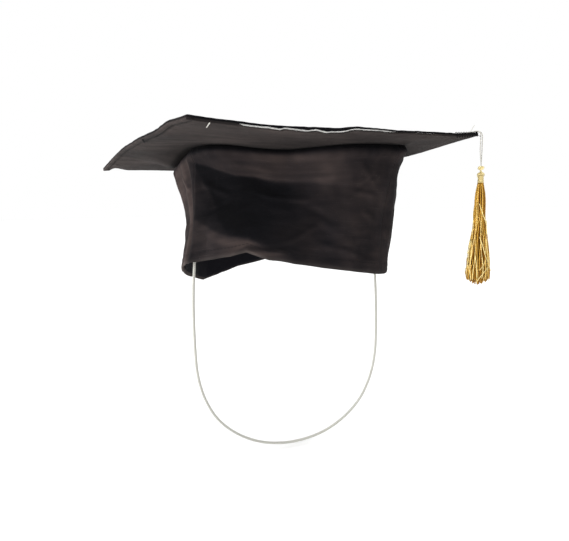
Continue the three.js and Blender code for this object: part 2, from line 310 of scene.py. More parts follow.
def twisted_thread(name, stops, pitch=1.6, roughness=0.42, metal=0.0, specular=0.3):
    """Plied yarn: each thread's own shade picks a colour between the stops, and the plies spiral with
    painted shade in their grooves.
    """
    material, tree, surface = new_material(name)
    uv = node(tree, "ShaderNodeTexCoord").outputs["UV"]
    apart = node(tree, "ShaderNodeSeparateXYZ", {"Vector": uv})
    along = math_node(tree, "MULTIPLY", apart.outputs["Y"], 2 * math.pi / (pitch * MM))
    round_it = math_node(tree, "MULTIPLY", apart.outputs["X"], 4 * math.pi)
    plies = math_node(tree, "SINE", math_node(tree, "ADD", along, round_it))
    fleck = math_node(tree, "SUBTRACT", noise_value(tree, uv, scale=160.0, detail=3.0), 0.5)
    shade = math_node(tree, "ADD", point_value(tree, "shade"), math_node(tree, "MULTIPLY", fleck, 0.7))
    ramp = node(tree, "ShaderNodeValToRGB", {"Fac": shade})
    elements = ramp.color_ramp.elements
    while len(elements) < len(stops):
        elements.new(0.5)
    for element, (position, colour) in zip(elements, stops):
        element.position = position
        element.color = (*colour, 1)
    # Painted shade in the grooves between the plies and a faint painted highlight on their crests.
    painted_ply_shade = remapped(tree, plies, start=-1.0, low=0.62, high=1.08)
    look = {
        "Base Color": mixed(tree, 1.0, ramp.outputs["Color"], painted_ply_shade, "MULTIPLY"),
        "Roughness": roughness,
        "Normal": relief(tree, plies, strength=0.5, depth=0.0001),
        "Metallic": metal,
        "Specular IOR Level": specular,
    }
    connect(tree, surface, look)
    return material


def cardboard():
    """White board: cool paper faces with fibres, and thin grey layers along the cut edge."""
    material, tree, surface = new_material("white_card")
    place = node(tree, "ShaderNodeTexCoord").outputs["Object"]
    layers = streak_value(tree, place, (60, 60, 2600), detail=3.0)
    fibres = noise_value(tree, place, scale=1500.0, detail=3.0)
    share = remapped(tree, layers, 0.35, 0.65)
    look = {
        "Base Color": mixed(tree, share, (0.86, 0.85, 0.82), (0.97, 0.97, 0.95)),
        "Roughness": 0.75,
        "Normal": relief(tree, math_node(tree, "ADD", layers, fibres), strength=0.35, depth=0.0001),
    }
    connect(tree, surface, look)
    return material


def brushed_metal(name, colour, roughness):
    """Stamped steel with fine turning marks round its axis and dull spots."""
    material, tree, surface = new_material(name)
    place = node(tree, "ShaderNodeTexCoord").outputs["Object"]
    marks = streak_value(tree, place, (400, 400, 9000), detail=2.0)
    spots = noise_value(tree, place, scale=700.0, detail=4.0)
    dull = tuple(0.6 * channel for channel in colour)
    look = {
        "Base Color": mixed(tree, spots, colour, dull),
        "Roughness": remapped(tree, spots, low=roughness - 0.1, high=roughness + 0.2),
        "Normal": relief(tree, marks, strength=0.2, depth=0.00005),
        "Metallic": 1.0,
    }
    connect(tree, surface, look)
    return material


# Colours of the cloth from its lightest to its darkest, and of the lint on it. The two lightest paint the
# light that the under cover gets.
UNDERSIDE_LIT_LIGHT = (0.041, 0.0325, 0.0300)
UNDERSIDE_LIT_DARK = (0.030, 0.0255, 0.0250)
BROWN = (0.0150, 0.0112, 0.0105)
PLUM = (0.0075, 0.0072, 0.0094)
INKY = (0.0036, 0.0034, 0.0052)
LINT = (0.06, 0.052, 0.048)
DARK_LINT = (0.02, 0.02, 0.02)

# A thread's colours from its darkest shade to its lightest: [shade, colour].
BLACK_STOPS = [(0.0, (0.004, 0.004, 0.005)), (1.0, (0.018, 0.018, 0.019))]
GOLD_STOPS = [
    (0.0, (0.10, 0.03, 0.001)),
    (0.35, (0.36, 0.16, 0.010)),
    (0.7, (0.68, 0.38, 0.045)),
    (1.0, (1.0, 0.82, 0.36)),
]
PALE_GOLD_STOPS = [(0.0, (0.46, 0.30, 0.08)), (1.0, (0.92, 0.80, 0.42))]
WHITE_STOPS = [(0.0, (0.42, 0.40, 0.34)), (1.0, (0.78, 0.76, 0.70))]
ELASTIC_STOPS = [(0.0, (0.34, 0.34, 0.30)), (1.0, (0.66, 0.65, 0.60))]

# The under cover is the same black cloth as the top and the crown, made lighter: painted light from below.
under_cloth = fabric("under_cloth", UNDERSIDE_LIT_DARK, UNDERSIDE_LIT_LIGHT, LINT)
board_cloth = fabric("board_cloth", PLUM, BROWN, LINT)
crown_cloth = fabric("crown_cloth", PLUM, BROWN, LINT)
lining_cloth = fabric("lining_cloth", INKY, PLUM, DARK_LINT)
button_cloth = fabric("button_cloth", PLUM, BROWN, LINT, pitch=0.4)
sewing_thread = twisted_thread("black_sewing_thread", BLACK_STOPS, pitch=0.5, roughness=0.8, specular=0.05)
gold_thread = twisted_thread("gold_thread", GOLD_STOPS, pitch=1.4, roughness=0.36, metal=0.55)
pale_gold_thread = twisted_thread("pale_gold_thread", PALE_GOLD_STOPS, pitch=1.2, roughness=0.4, metal=0.4)
white_thread = twisted_thread("white_thread", WHITE_STOPS, pitch=1.1)
elastic_yarn = twisted_thread("elastic_yarn", ELASTIC_STOPS, pitch=1.8, roughness=0.7)

# ---- Shared geometry ----


def mesh_object(name, points, faces, uvs=None, values=None, material=None):
    """A mesh piece from points in millimetres, with one uv pair and some named numbers per point."""
    mesh = bpy.data.meshes.new(name)
    mesh.from_pydata((np.asarray(points, float) * MM).tolist(), [], faces)
    if uvs is not None:
        corner_vertex = np.empty(len(mesh.loops), int)
        mesh.loops.foreach_get("vertex_index", corner_vertex)
        layer = mesh.uv_layers.new(name="UVMap")
        layer.data.foreach_set("uv", (np.asarray(uvs, float) * MM)[corner_vertex].ravel())
    for key, numbers in (values or {}).items():
        attribute = mesh.attributes.new(key, "FLOAT", "POINT")
        attribute.data.foreach_set("value", np.asarray(numbers, np.float32))
    mesh.polygons.foreach_set("use_smooth", np.ones(len(mesh.polygons), bool))
    if material is not None:
        mesh.materials.append(material)
    mesh.update()
    made = bpy.data.objects.new(name, mesh)
    bpy.context.scene.collection.objects.link(made)
    return made


def attach(piece, body, slot, *replaced):
    """Says which body a piece moves with, and the CAD nodes it stands for, if any. slot, its finish, is not
    used.
    """
    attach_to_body(piece, body)
    if replaced:
        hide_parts(*replaced)
    return piece


def thicken(piece, thickness, offset=0.0):
    """Gives a sheet its thickness: offset is 0 for both ways from its middle, and -1 for inwards."""
    solid = piece.modifiers.new("thickness", "SOLIDIFY")
    solid.thickness = thickness * MM
    solid.offset = offset
    return piece


def grid_faces(rows, columns, wraps=False):
    """Quads of a grid of points stored row by row. With wraps, the last column joins the first."""
    faces = []
    for i in range(rows - 1):
        for j in range(columns if wraps else columns - 1):
            k = (j + 1) % columns
            faces.append((i * columns + j, i * columns + k, (i + 1) * columns + k, (i + 1) * columns + j))
    return faces


def travelled_along(path):
    """The distance from the path's start to each of its points."""
    return np.concatenate([[0], np.cumsum(np.linalg.norm(np.diff(path, axis=0), axis=1))])


def at_distances(path, travelled, wanted):
    """The places on the path at the wanted distances from its start."""
    return np.stack([np.interp(wanted, travelled, path[:, k]) for k in range(3)], axis=1)


def blended(t, start, end, first, second):
    """A straight line in t from first, at start, to second, at end."""
    return (end - t) / (end - start) * first + (t - start) / (end - start) * second


def smooth_path(points, spacing):
    """A centripetal curve through the points, as even steps of about that spacing."""
    p = np.asarray(points, float)
    p = np.vstack([2 * p[0] - p[1], p, 2 * p[-1] - p[-2]])
    dense = []
    for a, b, c, d in zip(p, p[1:], p[2:], p[3:]):
        spans = [math.sqrt(np.linalg.norm(end - start)) for start, end in ((a, b), (b, c), (c, d))]
        t0, t1, t2, t3 = np.cumsum([0.0, *spans])
        t = np.linspace(t1, t2, 24, endpoint=False)[:, None]
        ab = blended(t, t0, t1, a, b)
        bc = blended(t, t1, t2, b, c)
        cd = blended(t, t2, t3, c, d)
        dense.append(blended(t, t1, t2, blended(t, t0, t2, ab, bc), blended(t, t1, t3, bc, cd)))
    dense = np.vstack([*dense, p[-2:-1]])
    travelled = travelled_along(dense)
    even = np.linspace(0, travelled[-1], max(2, round(travelled[-1] / spacing) + 1))
    return at_distances(dense, travelled, even)


def path_length(path):
    return float(np.linalg.norm(np.diff(path, axis=0), axis=1).sum())


def even_distances(path):
    """The distance to each point of a path whose points lie evenly."""
    return np.arange(len(path)) * path_length(path) / (len(path) - 1)


def grid_uvs(across, along):
    """uvs of a grid stored row by row, from one number for each column and one for each row."""
    return np.stack(np.broadcast_arrays(across[None, :], along[:, None]), axis=2).reshape(-1, 2)


def frames_along(path):
    """Two directions square to the path at each point, turning as little as they can."""
    tangent = np.gradient(path, axis=0)
    tangent /= np.linalg.norm(tangent, axis=1)[:, None]
    reference = np.cross(tangent[0], [0, 0, 1.0])
    if np.linalg.norm(reference) < 0.1:
        reference = np.cross(tangent[0], [1.0, 0, 0])
    side = np.empty_like(path)
    for i, direction in enumerate(tangent):
        reference = reference - direction * (reference @ direction)
        reference = reference / np.linalg.norm(reference)
        side[i] = reference
    return side, np.cross(tangent, side)


def tube(path, radius, sides):
    """Points, faces and uvs of a closed tube. radius is a number, or one for each ring or ring point."""
    side, other = frames_along(path)
    angles = np.arange(sides) * 2 * math.pi / sides
    radii = np.asarray(radius, float)
    if radii.ndim == 1:
        radii = radii[:, None]
    radii = np.broadcast_to(radii, (len(path), sides))[..., None]
    spokes = np.cos(angles)[:, None] * side[:, None] + np.sin(angles)[:, None] * other[:, None]
    points = (path[:, None] + radii * spokes).reshape(-1, 3)
    faces = grid_faces(len(path), sides, wraps=True)
    faces.append(tuple(range(sides))[::-1])
    faces.append(tuple((len(path) - 1) * sides + i for i in range(sides)))
    around = np.abs(np.arange(sides) / sides * 2 - 1) / MM
    return points, faces, grid_uvs(around, travelled_along(path))


def strand(path, radius, sides, shade):
    """A tube and its shade, as one part of a threads_object()."""
    return (*tube(path, radius, sides), shade)


def threads_object(name, strands, material):
    """One mesh piece from several strands."""
    points, faces, uvs, shades = [], [], [], []
    count = 0
    for strand_points, strand_faces, strand_uvs, shade in strands:
        points.append(strand_points)
        faces.extend(tuple(count + corner for corner in face) for face in strand_faces)
        uvs.append(strand_uvs)
        shades.append(np.broadcast_to(shade, len(strand_points)))
        count += len(strand_points)
    values = {"shade": np.concatenate(shades)}
    return mesh_object(name, np.vstack(points), faces, np.vstack(uvs), values, material)


def hump(value, centre, width):
    """A round hump of height 1."""
    return np.exp(-(((value - centre) / width) ** 2))


def step(value, low, high):
    """0 below low, 1 above high, and smooth between."""
    t = np.clip((value - low) / (high - low), 0, 1)
    return t * t * (3 - 2 * t)


def through(value, places):
    """A line through [place, height] pairs, read at value."""
    return np.interp(value, [place for place, _ in places], [height for _, height in places])


def smooth_through(value, places, blur=3.0):
    """The same as through(), with its corners rounded."""
    offsets = np.linspace(-1.5, 1.5, 7) * blur
    weights = np.exp(-((offsets / blur) ** 2))
    total = sum(weight * through(value + offset, places) for weight, offset in zip(weights, offsets))
    return total / weights.sum()


def turned_from(middle, degrees):
    """The angle from middle to degrees, between -180 and 180."""
    return np.mod(degrees - middle + 180, 360) - 180


def ripple(x, y, size, seed=0.0):
    """Smooth noise between about -1 and 1, with features of that size in millimetres."""
    x, y = np.broadcast_arrays(x, y)
    flat = np.stack([np.ravel(x) / size, np.ravel(y) / size, np.full(np.size(x), seed)], axis=1)
    return np.array([noise.noise(p) for p in flat.tolist()]).reshape(np.shape(x)) * 1.6


# ---- Cords ----


def strap_path():
    """The U of the chin strap, from the left knot to the right one."""
    span = np.linalg.norm(STRAP_RIGHT - STRAP_LEFT)
    other_half = [[span - along, height] for along, height in STRAP_HALF][::-1]
    route = []
    for along, height in [*STRAP_HALF, [span / 2, STRAP_LOWEST], *other_half]:
        x, y = STRAP_LEFT + (STRAP_RIGHT - STRAP_LEFT) * along / span
        route.append([x, y, height])
    return smooth_path(route, 0.4)


def add_chin_elastic():
    """A round braided elastic: strands cross over each other in both directions round it."""
    path = strap_path()
    sides = 20
    strands = 5
    braid_pitch = 7.0
    angles = strands * (np.arange(sides) * 2 * math.pi / sides)[None, :]
    turn = strands * (2 * math.pi * even_distances(path) / braid_pitch)[:, None]
    braid = np.maximum(np.sin(angles + turn), np.sin(angles - turn))
    points, faces, uvs = tube(path, ELASTIC_DIAMETER / 2 + 0.07 * braid - 0.05, sides)
    # The braid's raised strands are painted lighter and its hollows darker: painted shade.
    shade = {"shade": 0.35 + 0.4 * braid.ravel()}
    elastic = mesh_object("chin_elastic_cord", points, faces, uvs, shade, elastic_yarn)
    attach(elastic, "chin_strap", "elastic", "chin_elastic")


def overhand(centre, size, thickness, tilt):
    """A closed overhand knot of cord, as a path that is tilted by so many degrees."""
    t = np.linspace(0, 2 * math.pi, 120)
    x = np.sin(t) + 2 * np.sin(2 * t)
    y = np.cos(t) - 2 * np.cos(2 * t)
    z = -1.3 * np.sin(3 * t)
    path = np.stack([x, y, z], axis=1) * (size - thickness / 2) / 3
    turn = np.array(Matrix.Rotation(math.radians(tilt), 3, "X"))
    return path @ turn.T + centre


def add_elastic_knot(side, place):
    """The strap's end, tied in an overhand knot inside the hem."""
    centre = np.array([*place, STRAP_END + TOUCH_GAP + KNOT_RADIUS])
    path = overhand(centre, KNOT_RADIUS + 0.6, 1.8, tilt=65)
    tail = smooth_path([centre, centre + [0.6, 0.4, 3.5], centre + [1.6, -0.2, 6.0]], 0.4)
    parts = [strand(path, 0.95, 12, 0.5), strand(tail, 0.9, 12, 0.45)]
    knot = threads_object(f"elastic_knot_{side}_tied", parts, elastic_yarn)
    attach(knot, "cap", "elastic", f"elastic_knot_{side}")


def tassel_point(reach, height, aside=0.0):
    """A point beside the upright plane that holds the tassel, from the button's axis to a corner."""
    x = BOARD_CENTRE[0] + reach * math.cos(TASSEL_TURN) - aside * math.sin(TASSEL_TURN)
    y = BOARD_CENTRE[1] + reach * math.sin(TASSEL_TURN) + aside * math.cos(TASSEL_TURN)
    return np.array([x, y, STACK_TOP + height])


TASSEL_FOOT = tassel_point(TASSEL_REACH, 0)    # the tassel's axis, at the board's top


def plied_radii(path, sides):
    """Ring radii of a thread of two plies twisted together."""
    angles = np.arange(sides) * 2 * math.pi / sides
    twist = 2 * (angles[None, :] - 2 * math.pi * even_distances(path)[:, None] / PLY_PITCH)
    return THREAD_DIAMETER / 2 * (0.9 + 0.12 * np.cos(twist))


def thread_aside(reach, height):
    """How far each of the two threads lies from their middle: they close up towards the knot."""
    closing = 1 - 0.75 * step(-height, 4, -KNOT_TOP - 1)
    bowing = 1 + 0.5 * hump(height, 4, 5) * step(reach, 160, 172)
    return THREAD_SPACING / 2 * closing * bowing


def hanging_shift(reach, height, shift):
    """Where the threads hang free, each is shifted a little along the board's diagonal."""
    return shift * step(reach, 168.5, TASSEL_REACH) * step(height, KNOT_TOP, KNOT_TOP + 11)


def add_tassel_threads(loop):
    """The two plied threads from the button's loop over the board's corner to the knot."""
    sides = 10
    for side, sign, shift in (("left", -1, -1.1), ("right", 1, 0.4)):
        route = []
        for reach, height in THREAD_ROUTE:
            shifted = reach + hanging_shift(reach, height, shift)
            route.append(tassel_point(shifted, height, sign * thread_aside(reach, height)))
        path = smooth_path(route, 0.35)
        plied = strand(path, plied_radii(path, sides), sides, 0.5)
        thread = threads_object(f"tassel_thread_{side}_plied", [plied], white_thread)
        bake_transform(thread)
        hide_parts(f"tassel_thread_{side}", f"tassel_hanger_{side}")


def add_tassel_loop():
    """The threads' loop round the button's neck."""
    radius = NECK_RADIUS + TOUCH_GAP + THREAD_DIAMETER / 2
    sides = 10
    t = np.linspace(0, 2 * math.pi, 97)
    x = BOARD_CENTRE[0] + radius * np.cos(t)
    y = BOARD_CENTRE[1] + radius * np.sin(t)
    ring = np.stack([x, y, STACK_TOP + THREAD_ROUTE[0][1] + 0.15 * np.sin(3 * t)], axis=1)
    angles = np.arange(sides) * 2 * math.pi / sides
    radii = THREAD_DIAMETER / 2 * 0.9 * (1 + 0.12 * np.cos(2 * angles[None, :] - 20 * t[:, None]))
    loop = threads_object("tassel_loop_plied", [strand(ring, radii, sides, 0.5)], white_thread)
    return attach(loop, "tassel_cord", "white_thread", "tassel_loop")


# ---- The board ----

# How far the near edge's seam gapes: 0 is sewn shut, and 1 shows the card.
SEAM_GAPE = [
    [-120, 0], [-90.5, 0], [-86.5, 1], [24, 1], [34, 0.55], [46, 0.35], [56, 0.7], [68, 0.6],
    [79, 0], [120, 0],
]

# Height of the near and left edges above the smooth warp: [place along the edge, height]. The waves
# fade away over WAVE_REACH from the edge.
WAVE_REACH = 24
NEAR_EDGE_WAVE = [
    [-120, 1.1], [-112, 0.6], [-98, 0.1], [-84, -0.4], [-72, -1.0], [-60, -0.9], [-46, -0.6],
    [-30, -0.3], [-19, -0.1], [-12, 0.7], [-5, 1.6], [2, 1.3], [16, 1.1], [30, 0.4], [50, 0.4],
    [70, 0.2], [95, -0.4], [120, 0.2],
]
LEFT_EDGE_WAVE = [
    [-120, 1.1], [-104, 0.9], [-88, 1.3], [-77, 0.3], [-66, -0.9], [-54, -1.3], [-34, -1.0],
    [-12, -0.4], [0, -0.6], [28, 0.3], [60, 0.0], [96, -0.2], [120, -0.6],
]

# How far the card's near edge hangs below its place between the covers: [place along the edge, drop].
CARD_DROP = [
    [-120, 0.0], [-93, 0.0], [-90, 0.1], [-81, 0.25], [-70, 0.0], [-62, 0.75], [-59, -0.2], [-43, 0.95],
    [-36, 0.1], [-28, 1.5], [-23.5, 0.95], [-12.7, 1.0], [-7, 0.3], [-1, 0.1], [11, -0.15], [30, -0.3],
    [60, -0.25], [79, 0.0], [120, 0.0],
]


def board_lift(x, y):
    """How far the warped board stands above its middle. x and y are from the row's origin."""
    u = (x - BOARD_CENTRE[0]) / BOARD_HALF
    v = (y - BOARD_CENTRE[1]) / BOARD_HALF
    twist = -1.1 * u * v - 1.8 * u * u * v + 5.7 * u * v * v
    return -3.3 * u - 2.3 * v - v * v + twist


def by_edge(inside, width):
    """1 at an edge and outside it, and fading away inside it."""
    return hump(np.maximum(inside, 0), 0, width)


def board_wave(x, y):
    """Waves along the board's edges, which card and covers share. x and y are from the board's centre."""
    near_share = by_edge(BOARD_HALF + y, WAVE_REACH)
    left_share = by_edge(BOARD_HALF + x, WAVE_REACH)
    near = smooth_through(x, NEAR_EDGE_WAVE) * near_share
    left = smooth_through(y, LEFT_EDGE_WAVE) * left_share
    near_left_corner = -1.1 * left_share * near_share
    right = 0.5 * np.sin(y / 17 + 1) * by_edge(BOARD_HALF - x, 20)
    far = 0.5 * np.sin(x / 21) * by_edge(BOARD_HALF - y, 20)
    far_left_lift = 2.6 * hump(x, -109, 8) * by_edge(BOARD_HALF - y, 14)
    bulge = 2.4 * hump(np.hypot(x + 62, y + 16), 0, 28)
    return near + left + near_left_corner + right + far + far_left_lift + bulge


def card_drop(x, y):
    """How far the card's near edge, and the cloth under it, hangs away from the top cover."""
    return through(x, CARD_DROP) * by_edge(BOARD_HALF + y, 7)


def board_height(x, y, above):
    """Height of a layer of the board over a place that is measured from the board's centre."""
    lift = board_lift(x + BOARD_CENTRE[0], y + BOARD_CENTRE[1])
    return BOARD_HEIGHT + lift + board_wave(x, y) + above


def from_origin(x, y, height):
    """Points over places that are measured from the board's centre."""
    return np.stack(np.broadcast_arrays(x + BOARD_CENTRE[0], y + BOARD_CENTRE[1], height), axis=-1)


def crown_place(x, y):
    """A place under the board as an angle round the crown and a distance outside its top line."""
    across = x + BOARD_CENTRE[0]
    back = y + BOARD_CENTRE[1]
    along = across * math.cos(CROWN_TURN) + back * math.sin(CROWN_TURN)
    aside = back * math.cos(CROWN_TURN) - across * math.sin(CROWN_TURN)
    root = 1 / CROWN_POWER
    along_root = np.sign(along) * np.abs(along / CROWN_TOP[0]) ** root
    aside_root = np.sign(aside) * np.abs(aside / CROWN_TOP[1]) ** root
    ratio = np.hypot(along_root, aside_root) ** CROWN_POWER
    turn = np.mod(np.degrees(np.arctan2(aside_root, along_root)), 360)
    distance = (ratio - 1) * np.hypot(along, aside) / np.maximum(ratio, 0.01)
    return turn, distance - smooth_through(turn, JOINT_OUT, JOINT_BLUR)


def crown_distance(x, y):
    return crown_place(x, y)[1]


def crown_pull(x, y):
    """The crown's weight draws the slack under cover down along their joint."""
    turn, outside = crown_place(x, y)
    drawn = smooth_through(turn, JOINT_DOWN, JOINT_BLUR)
    return drawn * hump(outside, 0, np.where(outside > 0, 16, 10))


def edge_distance(x, y):
    """How far a place is inside the board's edge."""
    return BOARD_HALF - np.maximum(np.abs(x), np.abs(y))


def border_indices(steps):
    """The places of a square grid's border points in its list, in order round it."""
    last = steps - 1
    border = [(0, j) for j in range(last)] + [(i, last) for i in range(last)]
    border += [(last, last - j) for j in range(last)] + [(last - i, 0) for i in range(last)]
    return np.array([i * steps + j for i, j in border])


def bordered_sheet(steps, half, height, rim):
    """A square grid with extra rows that turn over its border.

    height(x, y) is the sheet's height. rim(x, y) gives a list of (out, up) steps for the border points.
    Returns points, faces and uvs, with x and y from the row's origin.
    """
    line = np.linspace(-half, half, steps)
    x, y = np.meshgrid(line, line)
    grid = np.stack([x, y, height(x, y)], axis=2).reshape(-1, 3)
    previous = border_indices(steps)
    border = grid[previous]
    places = border[:, :2]
    outwards = np.where(np.abs(places) > half - 0.01, np.sign(places), 0)
    points, uvs = [grid], [grid[:, :2]]
    faces = grid_faces(steps, steps)
    count = steps * steps
    reach = np.zeros(len(border))
    last_out = last_up = np.zeros(len(border))
    for out, up in rim(*places.T):
        out, up = np.zeros(len(border)) + out, np.zeros(len(border)) + up
        reach = reach + np.hypot(out - last_out, up - last_up)
        last_out, last_up = out, up
        points.append(np.column_stack([places + outwards * out[:, None], border[:, 2] + up]))
        uvs.append(places + outwards * reach[:, None])
        current = count + np.arange(len(border))
        quads = np.stack([np.roll(previous, -1), previous, current, np.roll(current, -1)], axis=1)
        faces.extend(map(tuple, quads.tolist()))
        previous = current
        count += len(border)
    return np.vstack(points) + [*BOARD_CENTRE, 0], faces, np.vstack(uvs)


def openness(x, y):
    """1 where the near edge's seam gapes, 0 where the covers are sewn together."""
    near = y < -BOARD_HALF + 2
    return near * np.clip(smooth_through(x, SEAM_GAPE, 1.5), 0, 1)


def under_tones(points):
    """Painted shade darkens the near seam, the crown's joint, the left hem's line and a slack pocket, and a
    stain lies on the hem.
    """
    x = points[:, 0] - BOARD_CENTRE[0]
    y = points[:, 1] - BOARD_CENTRE[1]
    patchy = 0.5 + 0.5 * ripple(x, y, 9, 3)
    # Painted shade along the near seam's fold.
    seam = 1.5 * (1 - step(y + BOARD_HALF, -0.3, 0.9))
    outside = crown_distance(x, y)
    # Painted shadow along the crown's joint, and fainter painted shade spreading out from it.
    joint = 1.3 * hump(outside, 0, 2.5) + 0.25 * hump(outside, 0, 30)
    # Painted shade in the hem's groove, fainter on the far half.
    hem_line = 0.9 * hump(x + BOARD_HALF, HEM_WIDTH, 0.55) * (1 - 0.6 * step(y, -40, 0))
    stain = 1.2 * hump(np.hypot(x + 115.5, (y + 23.6) / 2.5), 0, 1.4)
    # Painted shadow in the slack pocket.
    pocket = 0.9 * hump(np.hypot(x - 63.5, y + 95.5), 0, 5)
    streaks = 0.2 * ripple(x / 5, y, 7, 61) + 0.3 * ripple(x, y, 45, 62) + 0.1 * ripple(x, y, 6, 63)
    wear = hump(edge_distance(x, y), 2.4, 1.2) * patchy * 0.6
    return {"wear": wear, "tone": np.clip(streaks - seam - joint - hem_line - stain - pocket, -1.7, 1)}


def top_tones(points):
    """Painted shade darkens the cloth in its fold over the edge, less near the left edge, and the cloth is
    worn just inside it.
    """
    x = points[:, 0] - BOARD_CENTRE[0]
    y = points[:, 1] - BOARD_CENTRE[1]
    inside = edge_distance(x, y)
    streaks = 0.25 * ripple(x / 5, y, 7, 71) + 0.2 * ripple(x, y, 45, 72)
    wear = hump(inside, 2.4, 1.2) * (0.3 + 0.3 * ripple(x, y, 9, 73))
    # Painted shade in the fold over the edge, less near the left edge.
    dark = 1.2 - 1.0 * hump(x + BOARD_HALF, 0, 3)
    tone = streaks - dark * (1 - step(inside, -0.2, 1.4))
    return {"wear": np.maximum(wear, 0), "tone": np.clip(tone, -1.5, 1)}


def under_height(x, y):
    """The under cover: smooth at the crown, slack towards the edges, puckered along its hem."""
    outside = step(crown_distance(x, y), 3, 22)
    inside = edge_distance(x, y)
    slack = 0.55 + 0.5 * ripple(x, y, 38, 1) + 0.25 * ripple(x, y, 15, 2)
    sag = 0.9 * np.maximum(slack, 0) * outside * step(inside, 0, 9)
    pucker = 0.22 * ripple(x, y, 5, 6) * hump(inside, 6, 5)
    hem_line = 0.5 * hump(x + BOARD_HALF, HEM_WIDTH, 0.9)
    pouch = 1.5 * hump(np.hypot(x + 116.5, y - 115), 0, 3.5) * step(inside, -1, 3)
    pocket = 2.0 * hump(np.hypot(x - 63.5, y + 95.5), 0, 5)
    hanging = sag + pouch + pocket + crown_pull(x, y) + card_drop(x, y)
    return board_height(x, y, COVER_THICKNESS / 2) - hanging + pucker + hem_line


def part_open(x, y, closed_rows, open_rows):
    """Rows of (out, up) between those of a closed seam and those of an open one."""
    gap = openness(x, y)
    rows = []
    for (out, up), (open_out, open_up) in zip(closed_rows, open_rows):
        rows.append((out * (1 - gap) + open_out * gap, up * (1 - gap) + open_up * gap))
    return rows


def under_rim(x, y):
    """Folds up to the seam, and stays behind the card's edge where the seam is open."""
    closed_rows = [(0.25, 0.06), (0.43, 0.22), (0.5, 0.5), (0.5, 1.05), (0.1, 1.1)]
    fray = 0.12 * ripple(x, y, 1.7, 8)
    open_rows = [(-0.5, 0.05), (-0.8, 0.15), (-0.95, 0.32), (-1.0, 0.5 + fray), (-1.25, 0.5 + fray)]
    return part_open(x, y, closed_rows, open_rows)


def top_height(x, y):
    """The top cover: drawn tight over the card, with pulls round the button and along the edges."""
    inside = edge_distance(x, y)
    angle = np.arctan2(y, x)
    pulls = 0.22 * np.cos(9 * angle + 2 * np.sin(2 * angle)) * hump(np.hypot(x, y), 17, 9)
    slack = 0.22 * ripple(x, y, 42, 5) + 0.1 * ripple(x, y, 14, 9)
    pucker = 0.18 * ripple(x, y, 5, 4) * hump(inside, 3, 5)
    loose = np.maximum(slack + pulls, -0.12) * step(inside, 0, 6)
    return board_height(x, y, STACK_HIGH - COVER_THICKNESS / 2) + loose + pucker


def top_rim(x, y):
    """Folds down to the seam, or where the seam is open ends in a raw edge just over the card."""
    fray = 0.12 * ripple(x, y, 2.1, 12)
    lip = np.minimum(fray - 0.62 - through(x, CARD_DROP), -0.55)
    closed_rows = [(0.25, -0.06), (0.43, -0.22), (0.5, -0.5), (0.5, -1.1), (0.1, -1.15)]
    open_rows = [(0.25, -0.06), (0.43, -0.2), (0.5, -0.4), (0.5, lip), (0.15, lip)]
    return part_open(x, y, closed_rows, open_rows)


def add_board_covers():
    """The two cloths that are sewn together along the board's edge."""
    rim_width = 0.75
    steps = 181
    covers = (
        ("under", under_height, under_rim, under_tones, under_cloth),
        ("top", top_height, top_rim, top_tones, board_cloth),
    )
    for name, height, rim, tones, cloth in covers:
        points, faces, uvs = bordered_sheet(steps, BOARD_HALF - rim_width, height, rim)
        if name == "under":
            faces = [face[::-1] for face in faces]
        cover = mesh_object(f"{name}_cover_cloth", points, faces, uvs, tones(points), cloth)
        thicken(cover, COVER_THICKNESS)
        attach(cover, "cap", "black_cloth", f"{name}_cover")


def add_card():
    """The stiff card between the covers, with a kinked near edge and soft corners."""
    steps = 237
    corner_radius = 3
    line = np.linspace(-CARD_HALF, CARD_HALF, steps)
    x, y = np.meshgrid(line, line)
    height = board_height(x, y, CARD_MIDDLE) - card_drop(x, y)
    past = [np.maximum(np.abs(place) - CARD_HALF + corner_radius, 0) for place in (x, y)]
    shrink = 1 - np.maximum(np.hypot(*past) - corner_radius, 0) / (math.sqrt(2) * BOARD_HALF)
    ragged = 0.18 * ripple(x, y, 2.5, 15) * hump(edge_distance(x, y), 2, 1.2)
    points = from_origin(x * shrink, y * shrink + ragged, height).reshape(-1, 3)
    card = mesh_object("card_sheet", points, grid_faces(steps, steps), material=cardboard())
    thicken(card, CARD_THICKNESS - 0.1)
    attach(card, "cap", "white_card", "board_card")


# ---- The crown ----

# A place on the wall is an angle and a share of the way down from the board.
DEGREE_LENGTH = 1.55    # on average
WALL_HEIGHT = 97.0    # on average
CEILING_HEIGHT = 91.7

# How far each layer lies inside the wall's outer shape, how thick the cloths are, and how far the hem
# is turned under.
PANEL_INSET = 0.4
LINING_INSET = 2.6
FACING_INSET = 3.4
CEILING_INSET = 5.0
CLOTH_THICKNESS = 0.5
LINING_THICKNESS = 0.4
HEM_DEPTH = 7

# How far the crown's top line is from its smooth oval, outwards and down: [degrees, distance].
JOINT_OUT = [
    [0, 0], [8, 0], [188, 0], [200, 1.5], [215, 0.5], [228, 2], [238, 7], [246, 11], [254, 8],
    [262, 0], [272, -7], [281, -3], [290, 2], [300, 4], [318, 3], [332, 1.5], [345, -2], [358, -1],
    [360, 0],
]
JOINT_DOWN = [
    [0, 0], [178, 0], [188, 5], [196, 9], [206, 9], [214, 6], [223, 2.5], [231, 0.3], [238, 0],
    [258, 0.2], [271, 1.6], [283, 0.6], [294, 0], [360, 0],
]
JOINT_BLUR = 2.0    # degrees over which the corners of both are rounded

# The valley that runs across the near panel and the ridge below it: [degrees, share of the way down].
VALLEY = [
    [222, 0.08], [233, 0.11], [241, 0.16], [247, 0.21], [254, 0.255], [268, 0.285], [281, 0.29],
    [302, 0.32], [318, 0.35], [330, 0.38],
]
RIDGE = [
    [220, 0.50], [223, 0.52], [245, 0.755], [261, 0.86], [271, 0.90], [277, 0.98], [284, 1.05],
    [330, 1.1],
]

